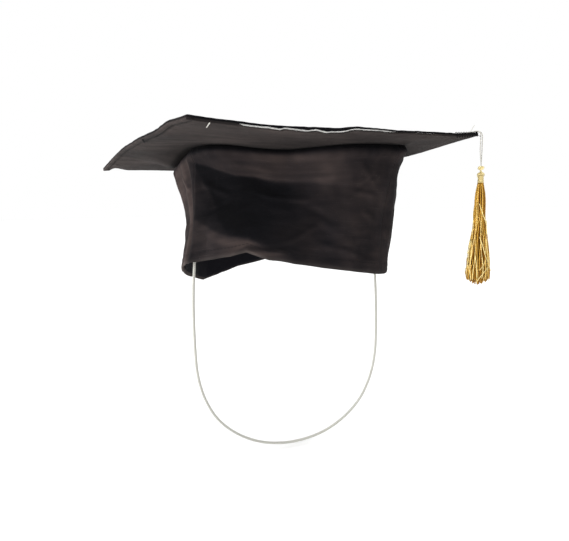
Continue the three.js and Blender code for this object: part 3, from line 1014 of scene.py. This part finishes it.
# How deep the valley is and how high the ridge stands: [degrees, millimetres].
VALLEY_DEPTH = [[229, 0], [236, 5.5], [246, 8], [258, 7], [275, 5], [290, 3.2], [305, 1.6], [318, 0]]
RIDGE_HEIGHT = [[222, 0], [229, 1.0], [240, 3.2], [256, 3.0], [266, 1.8], [280, 0.6], [300, 0]]

# How far the hem rises above its smooth line: [degrees, height].
HEM_WAVE = [
    [0, 0], [105, 0], [122, 1.9], [140, 1.6], [148, 0.1], [158, -2.8], [163, -2.2], [176, 0],
    [198, 0], [203, -1.2], [208, 0.5], [216, 0.5], [232, -1.8], [243, -1.6], [254, 0.6], [262, 5.0],
    [265, 3.0], [269, -0.4], [275, -2.4], [287, -2.4], [302, -0.8], [316, 0], [334, -0.8], [340, 0],
]

# The front seam's lean in degrees: at the board, and what it gains with down and with down squared.
FRONT_SEAM = CROWN_SEAMS["near"][0]
FRONT_LEAN = (6.5, -18.5, 7.3)

# Sharp upright folds at the crown's corners: [degrees at the board, degrees at the hem, width, height].
FRONT_FOLD = [235.5, 226.5, 10, 4.5]
CORNER_FOLDS = [FRONT_FOLD, [337, 337, 14, 2.2], [152, 156, 11, 3.0], [52, 55, 12, 2.0]]

# Soft upright folds: [degrees at the middle, lean in degrees from top to hem, width in degrees, height].
UPRIGHT_FOLDS = [
    [219, -3, 3.2, 1.6], [224, -5, 2.0, -1.2], [354, 0, 12, -0.5], [206, 6, 7, 1.8], [188, -8, 9, -1.6],
    [168, 5, 7, 1.5], [128, -9, 8, 1.8], [104, 7, 9, -1.7], [80, 6, 7, 1.5],
    [34, 6, 8, 1.6], [12, -7, 9, -1.6], [325, 2, 3, 0.7], [312, -5, 6, -0.9], [300, 7, 7, 0.9],
]

# Where the wall swells or sinks: [degrees, width in degrees, share of the way down, width, height].
SWELLS = [
    [350, 16, 0.62, 0.28, 3.2], [207, 12, 0.48, 0.24, -3.0], [344, 10, 0.98, 0.16, -1.5],
    [333, 6, 0.02, 0.06, 4.5],
]

# Short creases: [degrees, down] of both ends, width in millimetres, height in millimetres.
CREASES = [
    [[299, 0.12], [317, 0.32], 2.4, 0.55], [[315, 0.21], [302, 0.37], 2.2, -0.5],
    [[309, 0.5], [322, 0.58], 3, 0.6], [[270, 0.86], [284, 0.64], 2.5, 1.2],
    [[297, 0.34], [322, 0.40], 2.2, 0.6], [[262, 0.42], [280, 0.44], 2.2, 0.8],
    [[262, 1.0], [272, 0.90], 2.4, 1.8], [[257, 0.98], [266, 0.90], 2.2, -0.9],
    [[280, 0.55], [306, 0.80], 4.5, 0.7], [[270, 0.42], [292, 0.60], 4.0, -0.7],
    [[236, 0.30], [252, 0.45], 3.0, 1.2], [[238, 0.58], [250, 0.50], 2.4, -0.9],
    [[215, 0.15], [224, 0.34], 2.5, 0.9], [[160, 0.2], [178, 0.5], 4, 1.0],
    [[196, 0.7], [212, 0.55], 3.5, 1.0], [[70, 0.3], [92, 0.55], 4, 1.0],
    [[120, 0.6], [138, 0.42], 4, -1.0], [[20, 0.5], [38, 0.72], 4, 1.0],
    [[340, 0.25], [356, 0.45], 3.5, 1.0], [[330, 0.7], [344, 0.82], 3, -0.8],
    [[284, 0.80], [312, 0.88], 3, 0.8],
]

# Painted light and shade of the near panel's strip above the valley, of the hollow, and of the corner below
# the ridge: [degrees, tone].
STRIP_TONE = [
    [228, 0.1], [236, -0.4], [246, -0.2], [256, 0.3], [270, 0.6], [290, 0.4], [310, 0.15],
    [330, 0.1],
]
HOLLOW_TONE = [[228, -0.6], [234, -1.0], [260, -1.0], [268, -0.75], [277, -0.2], [286, 0.05], [330, 0.25]]
CORNER_TONE = [
    [220, 0.0], [230, 0.1], [246, 0.25], [260, 0.5], [271, 0.45], [276, 0.0], [284, -0.1],
    [330, 0.05],
]

# Lower down the hollow is in half shade, which begins at [degrees, share of the way down].
HOLLOW_END = [
    [220, 0.0], [234, 0.14], [240, 0.40], [245, 0.62], [250, 0.73], [259, 0.84], [270, 0.94],
    [280, 1.1],
]
HALF_SHADE = -0.25


def oval(degrees, half_length, half_width):
    """A place on a squarish oval round the crown's axis."""
    angle = np.radians(degrees)
    along = half_length * np.sign(np.cos(angle)) * np.abs(np.cos(angle)) ** CROWN_POWER
    across = half_width * np.sign(np.sin(angle)) * np.abs(np.sin(angle)) ** CROWN_POWER
    x = along * math.cos(CROWN_TURN) - across * math.sin(CROWN_TURN)
    y = along * math.sin(CROWN_TURN) + across * math.cos(CROWN_TURN)
    return np.stack([x, y], axis=-1)


def hem_height(degrees):
    """The hem dips to two points that lie opposite, one lower than the other."""
    points = 11.7 * np.cos(2 * np.radians(degrees - 153))
    tilt = 7 * np.cos(np.radians(degrees - 148))
    return through(np.mod(degrees, 360), HEM_WAVE) - points - tilt


def roof(value, width):
    """A straight-sided ridge of height 1."""
    return np.maximum(1 - np.abs(value) / width, 0)


def crease(degrees, down, ends, width, height):
    """A fold along a straight line on the wall, tapering at both ends."""
    (d0, t0), (d1, t1) = ends
    ax = turned_from(d0, degrees) * DEGREE_LENGTH
    ay = (down - t0) * WALL_HEIGHT
    bx, by = (d1 - d0) * DEGREE_LENGTH, (t1 - t0) * WALL_HEIGHT
    length = math.hypot(bx, by)
    along = (ax * bx + ay * by) / length
    aside = (ax * by - ay * bx) / length
    taper = step(along, -0.15 * length, 0.3 * length) * (1 - step(along, 0.7 * length, 1.15 * length))
    return height * taper * hump(aside, 0, width)


def valley_and_ridge(turn):
    """How far down the near panel's valley and ridge are."""
    valley = through(turn, VALLEY)
    return valley, np.maximum(through(turn, RIDGE), valley + 0.2)


def near_dent(turn, down):
    """The near panel's big fold: in to a valley, then out to a ridge, and in again to the hem."""
    valley, ridge = valley_and_ridge(turn)
    depth = through(turn, VALLEY_DEPTH)
    rise = through(turn, RIDGE_HEIGHT)
    above = -depth * np.clip(down / valley, 0, 1) ** 1.2
    t = np.clip((down - valley) / (ridge - valley), 0, 1)
    between = -depth + (depth + rise) * (0.55 * t + 0.45 * t * t * (3 - 2 * t))
    below = rise * (1 - 1.1 * np.clip((down - ridge) / 0.35, 0, 1))
    return np.where(down < valley, above, np.where(down < ridge, between, below))


def seam_lean(degrees, down):
    """The front seam leans, and the cloth on both sides of it leans with it, in degrees."""
    at_board, with_down, with_square = FRONT_LEAN
    lean = at_board + with_down * down + with_square * down ** 2
    return lean * hump(turned_from(FRONT_SEAM, degrees), 0, 16)


def corner_folds(turn, down, sewn):
    """The sharp folds, which the joint with the board flattens at their tops."""
    total = 0
    for at_board, at_hem, width, height in CORNER_FOLDS:
        centre = at_board + (at_hem - at_board) * down
        total = total + height * roof(turned_from(centre, turn), width) * (0.4 + 0.6 * sewn)
    return total


def upright_folds(turn, down, sewn):
    """The soft folds, which grow towards the hem."""
    total = 0
    for middle, lean, width, height in UPRIGHT_FOLDS:
        centre = middle + lean * (down - 0.5)
        total = total + height * hump(turned_from(centre, turn), 0, width) * sewn * (0.75 + 0.35 * down)
    return total


def sewn_lines(turn, down, along, fallen):
    """Where the wall is sewn: sunk seams, and the gathers and the dip along the joint with the board."""
    gather = 0.35 * np.sin(along / 1.35) * (0.5 + 0.5 * ripple(along, 0 * along, 18, 23))
    total = gather * hump(fallen, 4, 4.5)
    for seam, _ in CROWN_SEAMS.values():
        offset = turned_from(seam + seam_lean(seam, down), turn) * DEGREE_LENGTH
        total = total - 0.2 * hump(offset, 0, 0.9)
    return total - 3.0 * hump(fallen, 0, 2.6) + 0.8 * hump(fallen, 6, 4)


def crown_fold(degrees, down):
    """How far the slack wall stands outside its smooth shape, in millimetres."""
    turn = np.mod(degrees, 360)
    along, fallen = turn * DEGREE_LENGTH, down * WALL_HEIGHT
    sewn = step(down, 0, 0.16)
    total = near_dent(turn, down) + corner_folds(turn, down, sewn) + upright_folds(turn, down, sewn)
    for start, end, width, height in CREASES:
        total = total + crease(degrees, down, (start, end), width, height)
    for middle, width, middle_down, width_down, height in SWELLS:
        total = total + height * hump(turn, middle, width) * hump(down, middle_down, width_down)
    crumple = 0.7 * ripple(along, fallen, 26, 21) + 0.16 * ripple(along, fallen, 7, 22)
    joint = smooth_through(turn, JOINT_OUT, JOINT_BLUR) * (1 - step(down, 0, 0.55))
    return total + crumple * sewn + sewn_lines(turn, down, along, fallen) + joint


def near_tone(turn, down):
    """Painted light and shade on the near panel: a strip above the valley, a dark hollow, and a corner below
    the ridge with a highlight.
    """
    valley, ridge = valley_and_ridge(turn)
    soft = 0.1 * step(turn, 256, 285)
    below_valley = step(down, valley - 0.012 - soft / 2, valley + 0.03 + soft / 2)
    below_ridge = step(down, ridge - 0.02 - soft, ridge + 0.03 + soft)
    hollow_end = through(turn, HOLLOW_END)
    half_shaded = step(down, hollow_end - 0.05 - soft, hollow_end + 0.05 + soft)
    strip = through(turn, STRIP_TONE)
    hollow = through(turn, HOLLOW_TONE)
    hollow = hollow + (HALF_SHADE - hollow) * half_shaded
    tone = strip + (hollow - strip) * below_valley
    tone = tone + (through(turn, CORNER_TONE) - tone) * below_ridge
    # A painted highlight just below the ridge.
    return tone + 0.3 * hump(down - ridge, 0.07, 0.05) * hump(turn, 254, 14)


def crown_tone(degrees, down):
    """Painted light and shade, with some mottling: cloth that faces down is lighter, cloth that faces up is
    darker, the left panel is lit, and the top is shaded under the board: -1.3 to 1.3.
    """
    degrees = degrees + seam_lean(degrees, down)
    turn = np.mod(degrees, 360)
    along, fallen = turn * DEGREE_LENGTH, down * WALL_HEIGHT
    mottle = 0.25 * ripple(along, fallen, 24, 51) + 0.1 * ripple(along, fallen, 8, 52)
    mottle = mottle + 0.15 * ripple(along / 5, fallen, 4, 53)
    near = near_tone(turn, down)
    front_crease = FRONT_FOLD[0] + (FRONT_FOLD[1] - FRONT_FOLD[0]) * down
    # The left panel is painted lighter, as lit from the left, with a painted highlight along a soft fold;
    # the cloth on its side of the front crease is painted darker, as shade.
    left = 0.1 + 0.7 * step(turn, 140, 200) + 0.35 * hump(turn, 219 - 3 * (down - 0.5), 3.0)
    left = left - 0.8 * hump(turn, front_crease - 1.5, 4.0)
    tone = left + (near - left) * step(turn, front_crease - 0.4, front_crease + 0.8)
    span, turn_span = 0.015, 0.8
    higher = crown_fold(degrees, np.maximum(down - span, 0))
    lower = crown_fold(degrees, np.minimum(down + span, 1))
    slope = (higher - lower) / (2 * span * WALL_HEIGHT)
    aside = crown_fold(degrees + turn_span, down) - crown_fold(degrees - turn_span, down)
    aside = aside / (2 * turn_span * DEGREE_LENGTH)
    # Painted light and shade from the cloth's slope down the wall and round it.
    shading = np.clip(1.1 * slope, -0.5, 0.5) + np.clip(0.25 * aside, -0.15, 0.15)
    # A painted shadow darkens the wall's top couple of millimetres under the board.
    return np.clip(tone + mottle + shading - 1.6 * hump(fallen, 0, 2.2), -1.3, 1.3)


def crown_wall(degrees, down, inset):
    """A point of the wall: down is 0 at the board and 1 at the hem, and inset goes inwards."""
    degrees, down = np.broadcast_arrays(np.asarray(degrees, float), np.asarray(down, float))
    degrees = degrees + seam_lean(degrees, down)
    top = oval(degrees, *CROWN_TOP)
    hem = oval(degrees, *CROWN_HEM)
    outwards = top + (hem - top) * down[..., None]
    length = np.linalg.norm(outwards, axis=-1)
    waist = CROWN_WAIST * 4 * down * (1 - down)
    scale = (length - inset - waist + crown_fold(degrees, down)) / length
    place = outwards * scale[..., None] + CROWN_HEM_CENTRE * down[..., None]
    top_line = board_height(top[..., 0] - BOARD_CENTRE[0], top[..., 1] - BOARD_CENTRE[1], -0.1)
    top_line = top_line - smooth_through(np.mod(degrees, 360), JOINT_DOWN, JOINT_BLUR)
    height = top_line + (hem_height(degrees) - top_line) * down
    return np.concatenate([place, height[..., None]], axis=-1)


def even_degrees(start, end, spacing):
    """Angles from start to end that lie about that far apart round the crown, and how far along each is."""
    degrees = np.linspace(start, end, 400)
    travelled = travelled_along(oval(degrees, *CROWN_TOP))
    even = np.linspace(0, travelled[-1], round(travelled[-1] / spacing) + 1)
    return np.interp(even, travelled, degrees), even


def wall_grid(start, end, down_from, down_to, inset, spacing):
    """Points, faces and uvs of one layer of the wall, from seam to seam."""
    degrees, along = even_degrees(start, end, spacing)
    rows = round((down_to - down_from) * WALL_HEIGHT / spacing) + 1
    down = np.linspace(down_from, down_to, rows)
    points = crown_wall(degrees[None, :], down[:, None], inset)
    return points, grid_faces(rows, len(degrees)), grid_uvs(along, down * WALL_HEIGHT)


def hem_turn(degrees, along, depth):
    """Rows that carry the hem's edge round and up inside, as the cloth is turned under."""
    rows, uvs = [], []
    steps = [(0.25, 0.35), (0.7, 0.5), (1.15, 0.3), (1.35, -0.4), (1.35, -depth / 2), (1.35, -depth)]
    for inwards, lower in steps:
        down = np.full_like(degrees, 1 + min(lower, 0) / WALL_HEIGHT)
        points = crown_wall(degrees, down, PANEL_INSET + inwards)
        points[:, 2] -= max(lower, 0)
        rows.append(points)
        uvs.append(np.stack([along, np.full_like(along, WALL_HEIGHT + inwards - min(lower, 0))], axis=1))
    return rows, uvs


def add_crown_panel(side, start, end):
    """One panel of the crown, with its hem turned under."""
    gap = 0.04
    spacing = 1.1
    start, end = start + gap, end - gap
    points, faces, uvs = wall_grid(start, end, 0, 1, PANEL_INSET, spacing)
    rows, columns = points.shape[:2]
    degrees, along = even_degrees(start, end, spacing)
    turned, turned_uvs = hem_turn(degrees, along, HEM_DEPTH)
    points = np.vstack([points.reshape(-1, 3), *turned])
    faces = grid_faces(rows + len(turned), columns)
    uvs = np.vstack([uvs, *turned_uvs])
    down = np.repeat(np.concatenate([np.linspace(0, 1, rows), np.ones(len(turned))]), columns)
    wear = 0.5 * hump((1 - down) * WALL_HEIGHT, 0, 2.0)
    values = {"wear": wear, "tone": crown_tone(np.tile(degrees, rows + len(turned)), down)}
    panel = mesh_object(f"crown_panel_{side}_cloth", points, faces, uvs, values, crown_cloth)
    thicken(panel, CLOTH_THICKNESS)
    attach(panel, "cap", "black_cloth", f"crown_panel_{side}")


def add_crown_lining(side, start, end):
    """The lining inside one panel, from just under the board to just above the hem."""
    gap = 0.12
    points, faces, uvs = wall_grid(start + gap, end - gap, 0.004, 0.972, LINING_INSET, 2.0)
    points = points.reshape(-1, 3)
    lining = mesh_object(f"crown_lining_{side}_cloth", points, faces, uvs, material=lining_cloth)
    thicken(lining, LINING_THICKNESS)
    attach(lining, "cap", "lining_cloth", f"crown_lining_{side}")


def add_hem_facing():
    """A band of cloth sewn round inside the hem."""
    spacing = 1.6
    degrees, along = (numbers[:-1] for numbers in even_degrees(0, 360, spacing))
    down = np.linspace(0.78, 0.985, 14)
    fallen = down * WALL_HEIGHT
    inset = FACING_INSET + 0.25 * ripple(along[None, :], fallen[:, None], 12, 31)
    points = crown_wall(degrees[None, :], down[:, None], inset).reshape(-1, 3)
    faces = grid_faces(len(down), len(degrees), wraps=True)
    uvs = grid_uvs(along, fallen)
    facing = mesh_object("hem_facing_cloth", points, faces, uvs, material=lining_cloth)
    thicken(facing, CLOTH_THICKNESS)
    attach(facing, "cap", "lining_cloth", "hem_facing")


def add_ceiling():
    """The lining under the board: a slack disc, gathered at its edge."""
    rings = 42
    degrees = even_degrees(0, 360, 2.2)[0][:-1]
    edge = crown_wall(degrees, np.full_like(degrees, 0.08), CEILING_INSET)
    edge_drop = np.minimum(edge[:, 2] - CEILING_HEIGHT, 0)[None, :]
    middle = edge[:, :2].mean(axis=0)
    share = np.linspace(1, 0.02, rings)[:, None]
    flat = middle + (edge[None, :, :2] - middle) * share[..., None]
    x, y = flat[..., 0], flat[..., 1]
    slack = np.abs(0.5 * ripple(x, y, 30, 41) + 0.2 * ripple(x, y, 9, 42)) * (1 - share ** 6)
    gathers = 0.35 * np.sin(np.arange(len(degrees)) * 0.9)[None, :] * hump(share, 1, 0.08)
    height = CEILING_HEIGHT + edge_drop * share ** 5 - 0.6 * slack + 0.5 * gathers
    points = np.stack([x, y, height], axis=2).reshape(-1, 3)
    faces = grid_faces(rings, len(degrees), wraps=True)
    faces.append(tuple((rings - 1) * len(degrees) + i for i in range(len(degrees))))
    ceiling = mesh_object("ceiling_lining_cloth", points, faces, points[:, :2], material=lining_cloth)
    thicken(ceiling, LINING_THICKNESS)
    attach(ceiling, "cap", "lining_cloth", "ceiling_lining")
    flat = (0.205, 0.138)


def stitch_row(places, length, gap, radius):
    """Separate stitches along a fine path, each dipping into the cloth at both ends."""
    total = path_length(places)
    travelled = np.linspace(0, total, len(places))
    thickness = radius * np.array([0.35, 0.9, 1.0, 0.9, 0.35])
    parts = []
    position = gap
    while position + length < total:
        wanted = np.linspace(position, position + length, len(thickness))
        line = at_distances(places, travelled, wanted)
        parts.append(strand(line, thickness, 5, random.uniform(0.2, 0.9)))
        position += length + gap
    return parts


def add_crown_stitching():
    """The row of stitches that holds the turned hem."""
    degrees, _ = even_degrees(0, 360, 1.0)
    above_hem = HEM_DEPTH + 0.5
    line = crown_wall(degrees, np.full_like(degrees, 1 - above_hem / WALL_HEIGHT), 0.02)
    stitches = stitch_row(line, length=2.4, gap=0.8, radius=0.18)
    stitching = threads_object("crown_stitching", stitches, sewing_thread)
    attach(stitching, "cap", "black_cloth")


# ---- Button ----

BUTTON_RADIUS = 11.0
BUTTON_HEIGHT = 6.5
BUTTON_BASE = STACK_TOP + 2.3


def add_button():
    """A cloth-covered dome: the cloth is gathered under its rim."""
    sides = 96
    shrink = 0.4    # the cloth's middle lies this far inside the dome
    around = np.arange(sides) * 2 * math.pi / sides
    folds = np.cos(26 * around + 2 * np.sin(3 * around))
    rings = []
    for angle in np.linspace(math.radians(88), 0, 22):
        radius = (BUTTON_RADIUS - shrink) * math.cos(angle) + 0.16 * folds * math.cos(angle) ** 3
        height = BUTTON_BASE + shrink + (BUTTON_HEIGHT - shrink) * math.sin(angle)
        rings.append((radius, height + 0.05 * np.sin(5 * around + 9 * angle)))
    for inwards, up in ((0.5, 0.1), (0.9, 0), (1.2, 0.2)):
        rings.append((BUTTON_RADIUS - inwards + 0.25 * folds, BUTTON_BASE + up))
    rows = []
    for radius, height in rings:
        rows.append(from_origin(radius * np.cos(around), radius * np.sin(around), height))
    points = np.vstack(rows)
    uvs = points[:, :2] - BOARD_CENTRE
    faces = [tuple(range(sides)), *grid_faces(len(rows), sides, wraps=True)]
    cover = mesh_object("button_cover_cloth", points, faces, uvs, material=button_cloth)
    thicken(cover, CLOTH_THICKNESS, offset=-1.0)
    attach(cover, "cap", "black_cloth", "button_shell")


# ---- Tassel ----

# The skirt's outer radius: [share of the way down, radius].
SKIRT_OUTLINE = [
    [0, 2.1], [0.05, 2.8], [0.1, 3.6], [0.17, 4.0], [0.32, 4.3], [0.45, 5.3], [0.6, 6.8],
    [0.75, 8.3], [0.88, 9.3], [1.0, 8.6],
]
CLUMPS = 15
SKIRT_THREADS = 190
HEAD_STRANDS = 30
ACROSS_VIEW = math.radians(-31)    # the direction that lies across the view


def hanging_path(height_from, height_to, radius, angle):
    """A path down the tassel: one distance from its axis and one angle for each even step down."""
    heights = np.linspace(height_from, height_to, len(radius))
    return TASSEL_FOOT + np.stack([radius * np.cos(angle), radius * np.sin(angle), heights], axis=1)


def skirt_thread(index):
    """One thread of the skirt, which waves a little and drifts towards its clump lower down."""
    sides = 6
    rank = math.sqrt((index + 0.5) / SKIRT_THREADS)
    golden_angle = math.pi * (3 - math.sqrt(5))
    angle = index * golden_angle
    clump = round(angle / (2 * math.pi) * CLUMPS) / CLUMPS * 2 * math.pi
    drift = random.uniform(0.2, 0.75)
    wave = random.uniform(0.2, 0.8)
    phase = random.uniform(0, 6.3)
    pace = random.uniform(1.5, 4.0)
    stray = random.uniform(-1.2, 0.9) if random.random() < 0.35 else 0.0
    length = SKIRT_LENGTH * (1 - 0.05 * rank ** 2) + random.uniform(-3.5, 0.4)
    share = np.linspace(0, 1, 46)
    outline = through(share * length / SKIRT_LENGTH, SKIRT_OUTLINE)
    ripples = wave * np.sin(phase + 2 * math.pi * pace * share) * share
    radius = np.clip(rank * outline + ripples + stray * share ** 2, 0.05, 10.2)
    pull = drift * step(share, 0.35, 1.0)
    swirl = 0.35 * math.sin(phase) * share + 0.12 * np.sin(phase + 9 * share)
    angles = angle * (1 - pull) + clump * pull + swirl
    path = hanging_path(SKIRT_TOP + 0.5, SKIRT_TOP - length, radius, angles)
    thickness = np.interp(share, [0, 0.15, 1], [0.24, 0.36, 0.4]) * random.uniform(0.85, 1.1)
    # Threads deeper in the bundle and nearer its top are painted darker, as shade; the rest of the spread is
    # random.
    shade = 0.05 + 0.3 * rank + random.uniform(-0.4, 0.4) + 0.25 * share
    return strand(path, thickness, sides, np.repeat(np.clip(shade, 0.02, 0.98), sides))


def loose_thread(turn, points, shade):
    """A stray thread on the skirt's surface: points are [side in mm, share down] seen from one side."""
    route = []
    for aside, share in points:
        outline = float(through(share, SKIRT_OUTLINE)) + 0.5
        depth = math.sqrt(max(outline ** 2 - aside ** 2, 0.2))
        x = aside * math.cos(turn) + depth * math.sin(turn)
        y = aside * math.sin(turn) - depth * math.cos(turn)
        route.append(TASSEL_FOOT + [x, y, SKIRT_TOP - share * SKIRT_LENGTH])
    return strand(smooth_path(route, 1.0), 0.27, 6, shade)


# Strays that are seen on the skirt, each a list of [side in mm, share down].
STRAYS = [
    [[-2.2, 0.2], [0.6, 0.3], [3.8, 0.4], [4.4, 0.5]],
    [[-2.0, 0.52], [0.4, 0.62], [2.8, 0.72], [6.0, 0.8], [8.2, 0.86]],
    [[-5.2, 0.7], [-4.6, 0.8], [-4.2, 0.92]],
    [[-4.8, 0.97], [0.0, 0.88], [4.6, 0.82]],
    [[3.2, 0.55], [4.4, 0.66], [5.8, 0.78]],
]


def add_skirt():
    """The hanging gold threads, with loose ones on three sides and some scattered round them."""
    parts = [skirt_thread(index) for index in range(SKIRT_THREADS)]
    for turn in (ACROSS_VIEW, ACROSS_VIEW + 2.1, ACROSS_VIEW + 4.2):
        parts += [loose_thread(turn, stray, 1.1) for stray in STRAYS]
    for _ in range(22):
        start, length = random.uniform(0.3, 0.8), random.uniform(0.08, 0.2)
        aside, lean = random.uniform(-3, 3), random.uniform(-4, 4)
        wander = [[aside + lean * t + 0.6 * math.sin(5 * t), start + length * t] for t in (0, 0.33, 0.66, 1)]
        parts.append(loose_thread(random.uniform(0, 2 * math.pi), wander, random.uniform(0.6, 1.1)))
    skirt = threads_object("tassel_skirt_threads", parts, gold_thread)
    attach(skirt, "tassel", "gold_thread", "tassel_skirt")


def side_loop(side, lift):
    """A small loop of thread beside the head, whose lower end may be lifted."""
    across = side * np.array([math.cos(ACROSS_VIEW), math.sin(ACROSS_VIEW), 0])
    places = [
        (1.0, -1.8), (2.0, -1.7), (2.7, -2.7), (2.7, -4.2 + lift), (2.2, -5.2 + lift), (1.6, -3.9),
    ]
    route = [TASSEL_FOOT + across * out + [0, 0, HEAD_TOP + height] for out, height in places]
    return strand(smooth_path(route, 0.4), 0.3, 6, 0.62)


def add_head():
    """The folded top of the threads: strands run over a small bulb and into the neck."""
    share = np.linspace(0, 1, 16)
    radius = 0.25 + 2.0 * np.sin(np.minimum(share * 1.9, math.pi * 0.62)) ** 1.2
    parts = []
    for i in range(HEAD_STRANDS):
        angle = 2 * math.pi * i / HEAD_STRANDS + 0.5 * share
        path = hanging_path(HEAD_TOP - 0.6, BINDING_TOP + 0.1, radius, angle)
        parts.append(strand(path, 0.3, 6, random.uniform(0.4, 0.95)))
    stem = np.linspace(TASSEL_FOOT + [0, 0, HEAD_TOP + 0.1], TASSEL_FOOT + [0, 0, HEAD_TOP - 2.2], 8)
    parts += [strand(stem, 0.7, 8, 0.6), side_loop(-1, 0.0), side_loop(1, 0.7)]
    head = threads_object("tassel_head_strands", parts, pale_gold_thread)
    attach(head, "tassel", "gold_thread", "tassel_head")


def add_binding():
    """The neck's winding: thread wound tightly round the bundle."""
    turns = 9
    angle = np.linspace(0, 2 * math.pi * turns, 44 * turns)
    radius = np.interp(np.linspace(0, 1, len(angle)), [0, 0.2, 1], [1.95, 1.8, 2.15])
    top = BINDING_TOP - 0.3
    winding = hanging_path(top, top - 5.4, radius, angle)
    core = hanging_path(BINDING_TOP, SKIRT_TOP + 0.3, np.zeros(12), np.zeros(12))
    parts = [strand(winding, 0.36, 8, 0.6), strand(core, 1.85, 16, 0.35)]
    binding = threads_object("tassel_binding_wound", parts, pale_gold_thread)
    attach(binding, "tassel", "gold_thread", "tassel_binding")


def add_knot():
    """The knot that joins the white threads to the gold tassel: two overhand knots in one."""
    centre = TASSEL_FOOT + [0, 0, (KNOT_TOP + KNOT_LOW) / 2]
    first = overhand(centre, 2.6, 1.3, tilt=12)
    second = overhand(centre - [0, 0, 0.3], 2.1, 1.2, tilt=-50)
    parts = [strand(first, 0.65, 10, 0.9), strand(second, 0.6, 10, 0.6)]
    knot = threads_object("tassel_knot_tied", parts, pale_gold_thread)
    attach(knot, "tassel_hanger", "gold_thread", "tassel_knot")


# ---- Loose threads on the board ----


def add_white_ends():
    """Ends of white thread: one left in the under cover, and one that stands up at the tassel's corner."""
    x, y = np.array([-103.1, -107.4]), np.array([-105.4, -120.4])
    first, last = from_origin(x, y, under_height(x, y) - 0.5)
    lying = np.linspace(first, last, 24)
    x, y = np.array([111, 113, 114.6, 116.2]), np.array([-118.6, -118.8, -119, -119.2])
    above = np.array([0, 2.1, 4.1, 5.6])
    standing = smooth_path(from_origin(x, y, board_height(x, y, STACK_HIGH + above)), 0.3)
    parts = [strand(lying, 0.3, 8, 0.95), strand(standing, 0.25, 8, 0.6)]
    attach(threads_object("white_thread_ends", parts, white_thread), "cap", "white_thread")


def add_corner_stitches():
    """Black thread whipped round the board's edge at the tassel's corner, with its loose ends."""
    start, turns = 93.0, 9
    t = np.linspace(0, 2 * math.pi * turns, 30 * turns)
    x = start + (BOARD_HALF - start) * t / t[-1]
    y = -BOARD_HALF + 0.35 + 0.9 * np.cos(t)
    middle = board_height(x, np.full_like(x, -BOARD_HALF + 1.0), STACK_HIGH / 2)
    whipping = from_origin(x, y, middle + (1.95 - 0.35 * step(x, 106, 119)) * np.sin(t))
    parts = [strand(whipping, 0.22, 6, 0.3)]
    corner_x, corner_y = np.array(BOARD_HALF), np.array(-BOARD_HALF)
    tip = from_origin(corner_x, corner_y, board_height(corner_x, corner_y, STACK_HIGH))
    for _ in range(7):
        lean = np.array([random.uniform(-0.6, 1.2), random.uniform(-1.2, 0.6), random.uniform(-0.4, 1.0)])
        root = tip + [random.uniform(-9, -1), random.uniform(0, 2.5), random.uniform(-2.2, 0.2)]
        route = [root, root + lean, root + lean * 2.2 + [1.2, -0.6, -0.9]]
        parts.append(strand(smooth_path(route, 0.3), 0.16, 5, 0.4))
    attach(threads_object("corner_stitching", parts, sewing_thread), "cap", "black_cloth")


def add_edge_stitching():
    """Machine stitches along the folded hem of the under cover's left side, and three long tacks."""
    outside = COVER_THICKNESS / 2
    y = np.linspace(-112, 112, 500)
    x = -BOARD_HALF + HEM_WIDTH + 0.35 * np.sin(y / 11)
    line = from_origin(x, y, under_height(x, y) - outside - 0.05)
    parts = stitch_row(line, length=2.6, gap=0.9, radius=0.22)
    share = np.linspace(0, 1, 8)
    for shift in (-0.8, 0.0, 0.9):
        x, y = -BOARD_HALF + 4.5 * share, -31 + shift + 13 * share
        tack = from_origin(x, y, under_height(x, y) - outside - 0.1)
        parts.append(strand(tack, 0.28, 6, 0.2))
    attach(threads_object("board_hem_stitching", parts, sewing_thread), "cap", "black_cloth")


# ---- The whole cap ----

bpy.context.scene.view_settings.view_transform = "Standard"
add_camera()
add_chin_elastic()
add_tassel_threads(add_tassel_loop())
add_world(seen=1.0, strength=0.3)
add_floor(size=40.0)
add_sky_light(strength=3.4, spread=150)
add_soft_light("key", place=(-1.2, 0.25, -0.02), target=(0, 0, 0.05), size=0.8, power=17.0)
add_soft_light("low_fill", place=(-0.35, -0.75, -0.16), target=(-0.02, 0, 0.09), size=0.7, power=3.0)

for knot_side, knot_place in (("left", STRAP_LEFT), ("right", STRAP_RIGHT)):
    add_elastic_knot(knot_side, knot_place)
add_card()
add_board_covers()
for panel_side, (seam_from, seam_to) in CROWN_SEAMS.items():
    add_crown_panel(panel_side, seam_from, seam_to)
    add_crown_lining(panel_side, seam_from, seam_to)
add_hem_facing()
add_ceiling()
add_crown_stitching()
add_button()
add_knot()
add_head()
add_binding()
add_skirt()
add_white_ends()
add_corner_stitches()
add_edge_stitching()

steel = brushed_metal("brushed_steel", (0.58, 0.57, 0.55), 0.35)
for node_name in ("stud_washer", "button_stud", "button_back"):
    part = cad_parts[node_name]
    part.data.materials.clear()
    part.data.materials.append(steel)
